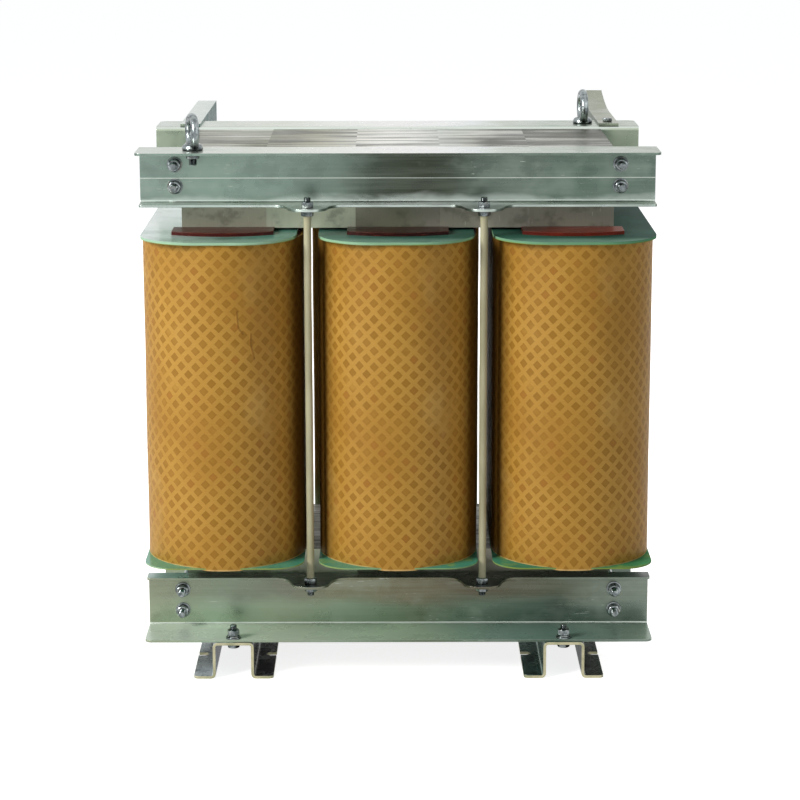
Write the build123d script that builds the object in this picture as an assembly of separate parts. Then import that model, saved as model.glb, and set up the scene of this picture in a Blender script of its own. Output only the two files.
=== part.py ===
"""Open core-and-coil assembly of a three-phase dry type transformer, in millimetres.

Frame: +X runs to the right along the clamps, +Y to the rear, +Z up. The origin is on the
floor, midway between the two feet and midway between the front and rear clamps.
"""
import os

from build123d import *

os.makedirs("parts", exist_ok=True)

# ---- driving dimensions -------------------------------------------------------------
# windings, obround in plan with half-round ends centred on the core faces, one set per limb
COIL_W = 227.0            # width over the paper wrap
COIL_GAP = 22.0           # between two paper wraps
COIL_PITCH = COIL_W + COIL_GAP
PAPER_T = 2.0             # paper wrap
HV_T = 21.5               # outer winding
BARRIER_T = 3.0           # duct barrier
LV_T = 19.0               # inner winding
FORMER_T = 3.0            # tube of the winding former
FORMER_PLAY = 5.0         # between the former and the limb's side
BOTTOM_PLATE_T = 2.0
BOTTOM_PLATE_OVER = (0.5, 0.5)   # the plate stands out past the paper at its left and right
BOTTOM_PLATE_END_OVER = -2.5     # and at its front and rear
TOP_PLATE_T = 4.0
TOP_PLATE_OVER = {"left": (0.0, -7.5), "center": (-1.5, -5.5), "right": (1.5, 1.5)}
TOP_PLATE_END_OVER = 4.0
TOP_PLATE_R = 80.0        # corner radius of the top end plates
BOTTOM_PLATE_R = 45.0     # corner radius of the bottom end plates
LIMB_CLEAR = 1.5          # play beside the limb in the end plates
WINDOW_PLAY = 3.5         # play between the top end plate and the upper yoke
SEGMENT_W = 143.0         # packing segment on the top end plate
SEGMENT_T = 5.0
SEGMENT_DEPTH = 44.0      # depth at its ends
SEGMENT_BULGE = 18.0      # the front edge is an arc this much deeper at the middle

# laminated core, three limbs joined by yoke sections
LIMB_W = COIL_W - 2 * (PAPER_T + HV_T + BARRIER_T + LV_T + FORMER_T + FORMER_PLAY)
COIL_SPREAD = 2.0         # the outer coils sit this far out from their limbs
LIMB_PITCH = COIL_PITCH - COIL_SPREAD
CORE_END = LIMB_PITCH + LIMB_W / 2
STACK = 262.0             # stack depth along Y
YOKE_H = 112.0            # yoke height
WINDOW_H = 473.0          # clear height between the yokes
PACKETS = 12              # lamination packets told apart on the yoke top
PACKET_GROOVE = 1.0       # width and depth of the line between two packets

# bent sheet clamps
CLAMP_OVER = 58.0         # the clamps run this far past the core at each end
CLAMP_L = 2 * (CORE_END + CLAMP_OVER)
SHEET = 3.5               # sheet thickness
BEND_R = 3.0              # inside bend radius
CLAMP_H = 82.0            # web height
FOOT_L = 434.0            # foot length
FOOT_OVER = 2.0           # the feet stand out past the wide flanges
WIDE_FLANGE = FOOT_L / 2 - FOOT_OVER - STACK / 2    # outer flange, measured from the core face
NARROW_FLANGE = 34.0      # inner flange, measured from the core face
CLAMP_STEP = 4.0          # the yoke ends this far inside the clamp
TONGUE_BASE = 68.0        # tongue width where it leaves the narrow flange
TONGUE_TIP = 44.0         # tongue width at its end
TONGUE_R = 25.0           # radius of the tongue's inner and outer corners
FLANGE_CORNER_R = 10.0    # rounded end corners of the wide flange

# feet, hat section channels from front to rear
FOOT_INSET = 127.0        # foot centre in from the clamp's end
FOOT_PITCH = CLAMP_L - 2 * FOOT_INSET
FOOT_H = 54.0
FOOT_T = 4.0
FOOT_HAT_W = 59.0         # outer width of the raised part
FOOT_W = 115.0            # width over the bottom flanges
FOOT_CORNER_R = 7.0
NOTCH_W = 14.0            # anchor notch, open to the outer edge
NOTCH_DEPTH = 15.0
NOTCH_INSET = 105.0       # notch centre in from the foot's end
NOTCH_PITCH = FOOT_L - 2 * NOTCH_INSET

# fasteners, metric: (thread diameter, nut across flats, nut height, washer diameter, washer thickness)
M10 = dict(d=10.0, af=16.0, nut=8.4, washer_d=22.0, washer_t=2.0, spring_d=18.1, spring_t=2.5)
M12 = dict(d=12.0, af=18.0, nut=6.0, washer_d=24.0, washer_t=2.5)
M8 = dict(d=8.0, af=13.0, nut=6.8, head=5.3)
ROD_MIDDLE = -3.0         # the tie rods sit this far to the left
ROD_X = (ROD_MIDDLE - LIMB_PITCH / 2, ROD_MIDDLE + LIMB_PITCH / 2)
ROD_INSET = 22.0          # tie rod in from the edge of the wide flange
ROD_OUT = WIDE_FLANGE - ROD_INSET
ROD_END = 6.0             # rod end past its last nut
SLEEVE_D = 11.2
STUD_CLEAR = 8.5          # clamp studs pass just outside the core ends
STUD_X = CORE_END + STUD_CLEAR
STUD_EDGE = 25.0          # first stud, from the clamp's wide flange
STUD_SPACING = 31.0
STUD_END = 14.0           # stud end past its nut
FOOT_BOLT_INSET = 11.0    # foot bolt in from the edge of the wide flange
FOOT_BOLT_OUT = WIDE_FLANGE - FOOT_BOLT_INSET
BOLT_HEAD = 6.4           # head height of an M10 bolt
FOOT_BOLT_END = 7.0

# lifting eye bolts
FRONT_EYE_INSET = 78.5    # in from the clamp's end
REAR_EYE_INSET = 82.2
EYE_OUT = 43.0            # out from the core face
EYE_RING_D = 54.0         # outside
EYE_BAR_D = 12.0          # round bar of the ring
EYE_H = 52.0              # top of the ring above the flange
EYE_COLLAR_D = 30.0
EYE_COLLAR_H = 9.0
EYE_STUD_END = 9.0
FRONT_EYE_TURN = 16.0     # the ring is turned this far from the front-to-rear line
REAR_EYE_TURN = 4.0

# rear angle arms
ARM_W = 30.0              # top leg
ARM_DROP = 38.0           # hanging leg, with the top leg's thickness
ARM_T = 4.0
ARM_START = STACK / 2 + 3   # front end, on the rear clamp's top flange
LEFT_ARM_X = -CLAMP_L / 2 + 51.5    # middle of the top leg
RIGHT_ARM_X = CLAMP_L / 2 - 45.2
LEFT_ARM_END = 500.0
RIGHT_ARM_END = 470.0
RIGHT_ARM_RISE = 19.0     # the right arm's end is bent up
ARM_BEND_Y = 300.0        # from here to its end
ARM_BOLT_Y = STACK / 2 + 31

# ---- levels worked out from the driving dimensions -------------------------------------
CORE_FACE = STACK / 2
LOWER_CLAMP_Z = FOOT_H
LOWER_YOKE_Z = LOWER_CLAMP_Z + CLAMP_STEP
WINDOW_Z = LOWER_YOKE_Z + YOKE_H
UPPER_YOKE_Z = WINDOW_Z + WINDOW_H
CORE_TOP_Z = UPPER_YOKE_Z + YOKE_H
CLAMP_TOP_Z = CORE_TOP_Z + CLAMP_STEP
UPPER_CLAMP_Z = CLAMP_TOP_Z - CLAMP_H
WINDING_Z = WINDOW_Z + BOTTOM_PLATE_T
TOP_PLATE_Z = UPPER_YOKE_Z - WINDOW_PLAY - TOP_PLATE_T
WINDING_H = TOP_PLATE_Z - WINDING_Z
PAPER_R = COIL_W / 2
HV_R = PAPER_R - PAPER_T
BARRIER_R = HV_R - HV_T
LV_R = BARRIER_R - BARRIER_T
FORMER_R = LV_R - LV_T
SIDES = {"left": -1, "center": 0, "right": 1}


# ---- helpers -----------------------------------------------------------------------------
def block(x, y, z):
    """Box between the pairs of limits x, y and z."""
    size = [max(v) - min(v) for v in (x, y, z)]
    return Pos(min(x), min(y), min(z)) * Box(*size, align=(Align.MIN,) * 3)


def rod(diameter, length, x=0.0, y=0.0, z=0.0):
    """Upright cylinder that starts at z."""
    return Pos(x, y, z) * Cylinder(diameter / 2, length, align=(Align.CENTER, Align.CENTER, Align.MIN))


def bore(diameter, x, y, z, depth):
    """Cutter for a hole that runs from z upwards."""
    return rod(diameter, depth, x, y, z)


def nut(size, x, y, z):
    """Hexagon nut whose lower face is at z."""
    blank = extrude(RegularPolygon(size["af"] / 2, 6, major_radius=False), size["nut"])
    return Pos(x, y, z) * (blank - bore(size["d"], 0, 0, -1, size["nut"] + 2))


def washer(outer, inner, thickness, x, y, z):
    """Flat ring whose lower face is at z."""
    return Pos(x, y, z) * extrude(Circle(outer / 2) - Circle(inner / 2), thickness)


def spring_washer(size, x, y, z):
    """Split ring, flattened by the nut."""
    ring = Circle(size["spring_d"] / 2) - Circle(size["d"] / 2)
    split = Pos(size["spring_d"] / 3, 0) * Rectangle(size["spring_d"] / 2, 1.2)
    return Pos(x, y, z) * extrude(ring - split, size["spring_t"])


def along_y(shape, x, y, z, outward):
    """Turn an upright fastener to point to the front (-1) or the rear (+1)."""
    return Pos(x, y, z) * Rot(90 if outward < 0 else -90, 0, 0) * shape


def group(shapes):
    """Separate solids that share one node."""
    return Compound(children=[solid for shape in shapes for solid in shape.solids()])


def vertices_at(face, points):
    """Corners of a sketch that lie nearest to the given points."""
    return [face.vertices().sort_by_distance(point)[0] for point in points]


def save(name, shape):
    """Write one node."""
    export_step(shape, f"parts/{name}.step")


# ---- core ------------------------------------------------------------------------------------
def packet_lines(x0, x1):
    """Cutter for the lines between lamination packets on the core top."""
    pitch = STACK / PACKETS
    return [
        block((x0, x1), (-CORE_FACE + n * pitch, -CORE_FACE + n * pitch + PACKET_GROOVE),
              (CORE_TOP_Z - PACKET_GROOVE, CORE_TOP_Z + 1))
        for n in range(1, PACKETS)
    ]


def limb(center_x):
    """Full-height limb; its ends show between the yoke sections."""
    x = (center_x - LIMB_W / 2, center_x + LIMB_W / 2)
    return block(x, (-CORE_FACE, CORE_FACE), (LOWER_YOKE_Z, CORE_TOP_Z)) - packet_lines(*x)


def yoke_section(side, z):
    """Yoke section that fills the space between two limbs."""
    x = sorted((side * LIMB_W / 2, side * (LIMB_PITCH - LIMB_W / 2)))
    section = block(x, (-CORE_FACE, CORE_FACE), (z, z + YOKE_H))
    return section - packet_lines(*x) if z == UPPER_YOKE_Z else section


# ---- clamps ------------------------------------------------------------------------------------
# A clamp is drawn as the lower front one: its web lies against the plane y = 0 and its wide
# flange is at z = 0. The other three are mirror images.
BEND = SHEET + BEND_R


def clamp_section():
    """Web and the two bends, up to where the flanges turn flat."""
    outer = RectangleRounded(2 * BEND + 2, CLAMP_H, BEND)
    inner = RectangleRounded(2 * BEND + 2 - 2 * SHEET, CLAMP_H - 2 * SHEET, BEND_R)
    web_half = Pos(BEND / 2, 0) * Rectangle(BEND + 2, CLAMP_H)
    section = Pos(-BEND - 1, CLAMP_H / 2) * ((outer - inner) & web_half)
    return extrude(Plane.YZ.offset(-CLAMP_L / 2) * section, CLAMP_L)


def wide_flange():
    """Plain flange with rounded end corners."""
    depth = WIDE_FLANGE - BEND
    plate = Pos(0, -BEND - depth / 2) * Rectangle(CLAMP_L, depth)
    return extrude(fillet(plate.vertices().group_by(Axis.Y)[0], FLANGE_CORNER_R), SHEET)


def narrow_flange():
    """Narrow flange with a tongue for each tie rod."""
    depth = NARROW_FLANGE - BEND
    plate = Pos(0, -BEND - depth / 2) * Rectangle(CLAMP_L, depth)
    plate = fillet(plate.vertices().group_by(Axis.Y)[0], FLANGE_CORNER_R / 2)
    roots, tips = [], []
    for x in ROD_X:
        root = [(x - TONGUE_BASE / 2, -NARROW_FLANGE), (x + TONGUE_BASE / 2, -NARROW_FLANGE)]
        tip = [(x + TONGUE_TIP / 2, -WIDE_FLANGE), (x - TONGUE_TIP / 2, -WIDE_FLANGE)]
        plate += make_face(Polyline(*root, *tip, close=True))
        roots += root
        tips += tip
    plate = fillet(vertices_at(plate, roots + tips), TONGUE_R)
    return Pos(0, 0, CLAMP_H - SHEET) * extrude(plate, SHEET)


def clamp(flange_holes=()):
    """One clamp with its stud holes, its tie rod holes and (diameter, x, out) holes in the wide flange."""
    body = clamp_section() + wide_flange() + narrow_flange()
    for x in ROD_X:
        body -= bore(M10["d"], x, -ROD_OUT, CLAMP_H - 2 * SHEET, 3 * SHEET)
    for x in (-STUD_X, STUD_X):
        for z in (STUD_EDGE, STUD_EDGE + STUD_SPACING):
            body -= along_y(bore(M10["d"], 0, 0, -1, 3 * SHEET), x, 0, z, outward=-1)
    for diameter, x, out in flange_holes:
        body -= bore(diameter, x, -out, -SHEET, 3 * SHEET)
    return body


def place_clamp(body, upper, rear):
    """Put a clamp on the core, mirrored for the rear and for the upper yoke."""
    if upper:
        body = mirror(body, about=Plane.XY)
    placed = Pos(0, -CORE_FACE, CLAMP_TOP_Z if upper else LOWER_CLAMP_Z) * body
    return mirror(placed, about=Plane.XZ) if rear else placed


# ---- windings ----------------------------------------------------------------------------------
def obround(radius):
    """Plan outline of one winding layer."""
    return SlotCenterToCenter(2 * CORE_FACE, 2 * radius, rotation=90)


def layer(center_x, outer, inner):
    """Winding layer of full height between two outlines."""
    return Pos(center_x, 0, WINDING_Z) * extrude(obround(outer) - obround(inner), WINDING_H)


def former(center_x):
    """Tube around the limb, with a half-round packing block on each core face."""
    inside = FORMER_R - FORMER_T
    hollow = Rectangle(2 * inside, STACK)
    return Pos(center_x, 0, WINDING_Z) * extrude(obround(FORMER_R) - hollow, WINDING_H)


def end_plate(side, z, thickness, corner_r, over, end_over):
    """Laminate plate with a window for the limb; over is (left, right)."""
    center_x = side * COIL_PITCH + (over[1] - over[0]) / 2
    outline = Pos(center_x, 0) * RectangleRounded(
        COIL_W + sum(over), STACK + COIL_W + 2 * end_over, corner_r)
    window = Pos(side * LIMB_PITCH, 0) * Rectangle(LIMB_W + 2 * LIMB_CLEAR, STACK)
    return Pos(0, 0, z) * extrude(outline - window, thickness)


def packing_segments():
    """Flat segments on the top end plates, at the front and rear of each limb."""
    half = SEGMENT_W / 2
    outline = make_face([
        Polyline((-half, -SEGMENT_DEPTH), (-half, 0), (half, 0), (half, -SEGMENT_DEPTH)),
        ThreePointArc((half, -SEGMENT_DEPTH), (0, -SEGMENT_DEPTH - SEGMENT_BULGE), (-half, -SEGMENT_DEPTH)),
    ])
    segment = extrude(outline, SEGMENT_T)
    front = [Pos(side * LIMB_PITCH, -CORE_FACE, TOP_PLATE_Z + TOP_PLATE_T) * segment for side in SIDES.values()]
    return group(front + [mirror(piece, about=Plane.XZ) for piece in front])


# ---- feet --------------------------------------------------------------------------------------
def foot(center_x):
    """Hat section channel with two open anchor notches in each bottom flange."""
    a, b, wall = FOOT_HAT_W / 2, FOOT_W / 2, FOOT_HAT_W / 2 - FOOT_T
    section = make_face(Polyline(
        (-b, FOOT_T), (-a, FOOT_T), (-a, FOOT_H), (a, FOOT_H), (a, FOOT_T), (b, FOOT_T),
        (b, 0), (wall, 0), (wall, FOOT_H - FOOT_T), (-wall, FOOT_H - FOOT_T), (-wall, 0), (-b, 0), close=True))
    inside = [(-a, FOOT_T), (a, FOOT_T), (wall, FOOT_H - FOOT_T), (-wall, FOOT_H - FOOT_T)]
    outside = [(-a, FOOT_H), (a, FOOT_H), (wall, 0), (-wall, 0)]
    section = fillet(vertices_at(section, inside), BEND_R)
    section = fillet(vertices_at(section, outside), BEND_R + FOOT_T)
    body = extrude(Plane.XZ.offset(-FOOT_L / 2) * section, FOOT_L)
    body &= extrude(RectangleRounded(FOOT_W, FOOT_L, FOOT_CORNER_R), FOOT_H)
    for side in (-1, 1):
        for y in (-NOTCH_PITCH / 2, NOTCH_PITCH / 2):
            body -= notch(side, y)
    for y in (-CORE_FACE - FOOT_BOLT_OUT, CORE_FACE + FOOT_BOLT_OUT):
        body -= bore(M10["d"], 0, y, FOOT_H - 2 * FOOT_T, 3 * FOOT_T)
    return Pos(center_x, 0, 0) * body


def notch(side, y):
    """Cutter for one anchor notch, round at its inner end."""
    middle = FOOT_W / 2 - NOTCH_DEPTH + NOTCH_W / 2
    mouth = block((side * middle, side * (FOOT_W / 2 + 1)), (y - NOTCH_W / 2, y + NOTCH_W / 2), (-1, FOOT_T + 1))
    return mouth + rod(NOTCH_W, FOOT_T + 2, side * middle, y, -1)


# ---- fasteners ---------------------------------------------------------------------------------
LOWER_TONGUE_Z = LOWER_CLAMP_Z + CLAMP_H - SHEET
UPPER_TONGUE_Z = UPPER_CLAMP_Z
ROD_PLACES = [(x, y) for x in ROD_X for y in (-CORE_FACE - ROD_OUT, CORE_FACE + ROD_OUT)]
STUD_HEIGHTS = [LOWER_CLAMP_Z + STUD_EDGE + n * STUD_SPACING for n in (0, 1)] + [
    CLAMP_TOP_Z - STUD_EDGE - n * STUD_SPACING for n in (0, 1)]
FOOT_BOLT_PLACES = [(x, y) for x in (-FOOT_PITCH / 2, FOOT_PITCH / 2)
                    for y in (-CORE_FACE - FOOT_BOLT_OUT, CORE_FACE + FOOT_BOLT_OUT)]


def tie_rods():
    """Threaded rods between the tongues of the lower and upper clamps."""
    below = LOWER_TONGUE_Z - M10["nut"] - ROD_END
    above = UPPER_TONGUE_Z + SHEET + M10["nut"] + ROD_END
    return group([rod(M10["d"], above - below, x, y, below) for x, y in ROD_PLACES])


def tie_rod_nuts():
    """A nut above and below each tongue."""
    levels = (LOWER_TONGUE_Z - M10["nut"], LOWER_TONGUE_Z + SHEET,
              UPPER_TONGUE_Z - M10["nut"], UPPER_TONGUE_Z + SHEET)
    return group([nut(M10, x, y, z) for x, y in ROD_PLACES for z in levels])


def tie_rod_sleeves():
    """Insulating sleeves between the inner nuts."""
    below = LOWER_TONGUE_Z + SHEET + M10["nut"]
    length = UPPER_TONGUE_Z - M10["nut"] - below
    return group([washer(SLEEVE_D, M10["d"], length, x, y, below) for x, y in ROD_PLACES])


def on_studs(shape, lift):
    """Copies of an upright fastener part at both ends of every clamp stud, lifted off the webs."""
    return group([
        along_y(shape, x, outward * (CORE_FACE + SHEET + lift), z, outward)
        for x in (-STUD_X, STUD_X) for z in STUD_HEIGHTS for outward in (-1, 1)
    ])


def clamp_studs():
    """Threaded studs through both clamps, outside the core ends."""
    reach = CORE_FACE + SHEET + M10["washer_t"] + M10["spring_t"] + M10["nut"] + STUD_END
    stud = rod(M10["d"], 2 * reach)
    return group([along_y(stud, x, reach, z, outward=-1) for x in (-STUD_X, STUD_X) for z in STUD_HEIGHTS])


def foot_bolts():
    """Hexagon head bolts, put in from inside the feet."""
    head_z = FOOT_H - FOOT_T - BOLT_HEAD
    top = FOOT_H + SHEET + M10["washer_t"] + M10["spring_t"] + M10["nut"] + FOOT_BOLT_END
    head = extrude(RegularPolygon(M10["af"] / 2, 6, major_radius=False), BOLT_HEAD)
    return group([Pos(x, y, head_z) * (head + rod(M10["d"], top - head_z)) for x, y in FOOT_BOLT_PLACES])


# ---- lifting eye bolts ---------------------------------------------------------------------------
def eye_bolt(x, y, turn):
    """Forged eye bolt whose collar sits on a clamp flange."""
    ring_z = EYE_H - EYE_RING_D / 2
    ring = Pos(0, 0, ring_z) * Rot(0, 90, 0) * Torus(EYE_RING_D / 2 - EYE_BAR_D / 2, EYE_BAR_D / 2)
    ring -= block((-EYE_RING_D, EYE_RING_D), (-EYE_RING_D, EYE_RING_D), (-EYE_RING_D, 0))
    collar = Cone(EYE_COLLAR_D / 2, EYE_COLLAR_D / 2 - 2, EYE_COLLAR_H, align=(Align.CENTER, Align.CENTER, Align.MIN))
    shank = rod(M12["d"], eye_stud_length(), z=-eye_stud_length())
    return Pos(x, y, CLAMP_TOP_Z) * Rot(0, 0, turn) * (ring + collar + shank)


def eye_stud_length():
    """Length of the threaded end below the collar."""
    return SHEET + M12["washer_t"] + M12["nut"] + EYE_STUD_END


FRONT_EYE_X = FRONT_EYE_INSET - CLAMP_L / 2
REAR_EYE_X = CLAMP_L / 2 - REAR_EYE_INSET
EYE_PLACES = {"front": (FRONT_EYE_X, -CORE_FACE - EYE_OUT), "rear": (REAR_EYE_X, CORE_FACE + EYE_OUT)}
EYE_TURNS = {"front": FRONT_EYE_TURN, "rear": REAR_EYE_TURN}
EYE_WASHER_Z = CLAMP_TOP_Z - SHEET - M12["washer_t"]


# ---- rear angle arms -------------------------------------------------------------------------------
def arm(center_x, end_y, inner, rise=0.0):
    """Angle on top of the rear clamp; inner is the side of its hanging leg, rise bends its end up."""
    half = ARM_W / 2
    top_leg = Pos(0, ARM_T / 2) * Rectangle(ARM_W, ARM_T)
    hanging_leg = Pos(inner * (half - ARM_T / 2), ARM_T - ARM_DROP / 2) * Rectangle(ARM_T, ARM_DROP)
    section = Plane.XZ.offset(-ARM_START) * Pos(center_x, CLAMP_TOP_Z) * (top_leg + hanging_leg)
    path = Line((center_x, ARM_START, CLAMP_TOP_Z), (center_x, ARM_BEND_Y, CLAMP_TOP_Z))
    if rise:
        path += TangentArc((center_x, ARM_BEND_Y, CLAMP_TOP_Z), (center_x, end_y, CLAMP_TOP_Z + rise),
                           tangent=(0, 1, 0))
        body = sweep(section, path)
    else:
        body = extrude(section, -(end_y - ARM_START))
    flange_end = CORE_FACE + WIDE_FLANGE + 2
    body -= block((center_x - ARM_W, center_x + ARM_W), (0, flange_end), (CLAMP_TOP_Z - ARM_DROP, CLAMP_TOP_Z))
    return body - bore(M8["d"], center_x, ARM_BOLT_Y, CLAMP_TOP_Z - 1, ARM_T + 2)


def arm_bolts():
    """Hexagon head bolts that hold the arms to the flange."""
    head = Pos(0, 0, ARM_T) * extrude(RegularPolygon(M8["af"] / 2, 6, major_radius=False), M8["head"])
    shank = rod(M8["d"], ARM_T + SHEET + M8["nut"] + 3, z=-SHEET - M8["nut"] - 3)
    return group([Pos(x, ARM_BOLT_Y, CLAMP_TOP_Z) * (head + shank) for x in (LEFT_ARM_X, RIGHT_ARM_X)])


# ---- build ---------------------------------------------------------------------------------------------
def build_core():
    """Limbs and yoke sections."""
    for name, side in SIDES.items():
        save(f"core_limb_{name}", limb(side * LIMB_PITCH))
    for level, z in (("lower", LOWER_YOKE_Z), ("upper", UPPER_YOKE_Z)):
        save(f"{level}_yoke_left", yoke_section(-1, z))
        save(f"{level}_yoke_right", yoke_section(1, z))


def build_clamps():
    """Four clamps, each with the holes that it needs."""
    foot_holes = [(M10["d"], x, FOOT_BOLT_OUT) for x in (-FOOT_PITCH / 2, FOOT_PITCH / 2)]
    arm_holes = [(M8["d"], x, ARM_BOLT_Y - CORE_FACE) for x in (LEFT_ARM_X, RIGHT_ARM_X)]
    lower = clamp(foot_holes)
    save("lower_front_clamp", place_clamp(lower, upper=False, rear=False))
    save("lower_rear_clamp", place_clamp(lower, upper=False, rear=True))
    save("upper_front_clamp", place_clamp(clamp([(M12["d"], FRONT_EYE_X, EYE_OUT)]), upper=True, rear=False))
    save("upper_rear_clamp", place_clamp(clamp([(M12["d"], REAR_EYE_X, EYE_OUT)] + arm_holes), upper=True, rear=True))


def build_windings():
    """One set of layers and end plates per limb."""
    for name, side in SIDES.items():
        x = side * COIL_PITCH
        save(f"winding_former_{name}", former(x))
        save(f"low_voltage_winding_{name}", layer(x, LV_R, FORMER_R))
        save(f"duct_barrier_{name}", layer(x, BARRIER_R, LV_R))
        save(f"high_voltage_winding_{name}", layer(x, HV_R, BARRIER_R))
        save(f"paper_wrap_{name}", layer(x, PAPER_R, HV_R))
        save(f"bottom_end_plate_{name}", end_plate(
            side, WINDOW_Z, BOTTOM_PLATE_T, BOTTOM_PLATE_R, BOTTOM_PLATE_OVER, BOTTOM_PLATE_END_OVER))
        save(f"top_end_plate_{name}", end_plate(
            side, TOP_PLATE_Z, TOP_PLATE_T, TOP_PLATE_R, TOP_PLATE_OVER[name], TOP_PLATE_END_OVER))
    save("packing_segments", packing_segments())


def build_feet():
    """Both feet."""
    save("left_foot", foot(-FOOT_PITCH / 2))
    save("right_foot", foot(FOOT_PITCH / 2))


def build_fasteners():
    """Tie rods, clamp studs, foot bolts and their nuts and washers."""
    save("tie_rods", tie_rods())
    save("tie_rod_nuts", tie_rod_nuts())
    save("tie_rod_sleeves", tie_rod_sleeves())
    save("clamp_studs", clamp_studs())
    save("clamp_washers", on_studs(washer(M10["washer_d"], M10["d"], M10["washer_t"], 0, 0, 0), 0))
    save("clamp_spring_washers", on_studs(spring_washer(M10, 0, 0, 0), M10["washer_t"]))
    save("clamp_nuts", on_studs(nut(M10, 0, 0, 0), M10["washer_t"] + M10["spring_t"]))
    flange_top = FOOT_H + SHEET
    save("foot_bolts", foot_bolts())
    save("foot_washers", group([washer(M10["washer_d"], M10["d"], M10["washer_t"], x, y, flange_top)
                                for x, y in FOOT_BOLT_PLACES]))
    save("foot_spring_washers", group([spring_washer(M10, x, y, flange_top + M10["washer_t"])
                                       for x, y in FOOT_BOLT_PLACES]))
    save("foot_nuts", group([nut(M10, x, y, flange_top + M10["washer_t"] + M10["spring_t"])
                             for x, y in FOOT_BOLT_PLACES]))


def build_lifting_eyes():
    """Both eye bolts with the washer and nut under the flange."""
    for name, (x, y) in EYE_PLACES.items():
        save(f"{name}_eye_bolt", eye_bolt(x, y, EYE_TURNS[name]))
    save("eye_bolt_washers", group([washer(M12["washer_d"], M12["d"], M12["washer_t"], x, y, EYE_WASHER_Z)
                                    for x, y in EYE_PLACES.values()]))
    save("eye_bolt_nuts", group([nut(M12, x, y, EYE_WASHER_Z - M12["nut"]) for x, y in EYE_PLACES.values()]))


def build_arms():
    """Both rear arms with their bolts."""
    save("left_arm", arm(LEFT_ARM_X, LEFT_ARM_END, inner=1))
    save("right_arm", arm(RIGHT_ARM_X, RIGHT_ARM_END, inner=-1, rise=RIGHT_ARM_RISE))
    save("arm_bolts", arm_bolts())
    save("arm_nuts", group([nut(M8, x, ARM_BOLT_Y, CLAMP_TOP_Z - SHEET - M8["nut"])
                            for x in (LEFT_ARM_X, RIGHT_ARM_X)]))


build_core()
build_clamps()
build_windings()
build_feet()
build_fasteners()
build_lifting_eyes()
build_arms()
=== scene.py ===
"""Looks of the open core-and-coil assembly of a three-phase dry type transformer.

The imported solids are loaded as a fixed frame. Sheet metal, core, end plates and feet keep their
solids and get their finish here. The paper wraps and the fasteners are made anew, in millimetres,
and turned to metres when their mesh is written.
"""
import logging
import math
from collections.abc import Iterable
from dataclasses import dataclass, field
from enum import Enum
from functools import partial, reduce

import bmesh
import bpy
import numpy as np
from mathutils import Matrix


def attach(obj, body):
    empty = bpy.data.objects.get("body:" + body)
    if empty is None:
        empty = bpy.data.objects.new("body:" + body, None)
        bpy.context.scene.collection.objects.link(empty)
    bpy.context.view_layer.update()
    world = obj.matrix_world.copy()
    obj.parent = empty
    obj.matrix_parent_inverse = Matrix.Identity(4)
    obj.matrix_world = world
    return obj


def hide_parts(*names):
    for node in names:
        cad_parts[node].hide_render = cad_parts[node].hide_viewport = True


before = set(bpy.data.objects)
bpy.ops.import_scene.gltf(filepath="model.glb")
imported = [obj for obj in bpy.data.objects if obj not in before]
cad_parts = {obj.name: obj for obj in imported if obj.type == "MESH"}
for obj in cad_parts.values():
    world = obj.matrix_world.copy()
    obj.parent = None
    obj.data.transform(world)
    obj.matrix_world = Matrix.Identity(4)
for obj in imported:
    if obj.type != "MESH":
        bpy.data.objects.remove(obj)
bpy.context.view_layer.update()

MM = 0.001
WELD = 2e-6             # points nearer than this, in metres, become one
TONE_REACH = 400.0      # tones along X run this far to either side, in millimetres
log = logging.getLogger("transformer")

Node = bpy.types.Node
Material = bpy.types.Material
Finishes = dict[str, Material]
Place = tuple[float, float, float]
Tones = tuple[tuple[float, str], ...]


# ---- colours and nodes ---------------------------------------------------------------------
def linear(hex_colour: str) -> tuple[float, float, float, float]:
    """Turn an sRGB colour such as "#AABBCC" into linear RGBA.

    Args:
        hex_colour: colour with a leading hash sign.

    Returns:
        Linear red, green, blue and an alpha of 1.
    """
    value = np.array([int(hex_colour[i:i + 2], 16) for i in (1, 3, 5)]) / 255
    rgb = np.where(value <= 0.04045, value / 12.92, ((value + 0.055) / 1.055) ** 2.4)
    return (float(rgb[0]), float(rgb[1]), float(rgb[2]), 1.0)


class Mode(Enum):
    """Node settings that come up again and again, as attribute and value."""

    PLUS = ("operation", "ADD")
    LESS = ("operation", "SUBTRACT")
    TIMES = ("operation", "MULTIPLY")
    LEAST = ("operation", "MINIMUM")
    MOST = ("operation", "MAXIMUM")
    SIZE = ("operation", "ABSOLUTE")
    FOLD = ("operation", "PINGPONG")
    WHOLE = ("operation", "FLOOR")
    DOT = ("operation", "DOT_PRODUCT")
    SMOOTH = ("interpolation_type", "SMOOTHSTEP")
    COLOUR = ("data_type", "RGBA")


def connect(tree: bpy.types.NodeTree, pairs: Iterable[tuple]) -> None:
    """Set or link sockets.

    Args:
        tree: node tree that holds the sockets.
        pairs: (socket, value). A value is a number, a hex colour, a socket to link, or a node whose
            first enabled output is linked.
    """
    for socket, value in pairs:
        if isinstance(value, Node):
            value = next(output for output in value.outputs if output.enabled)
        if isinstance(value, bpy.types.NodeSocket):
            tree.links.new(value, socket)
        else:
            socket.default_value = linear(value) if isinstance(value, str) else value


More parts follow.
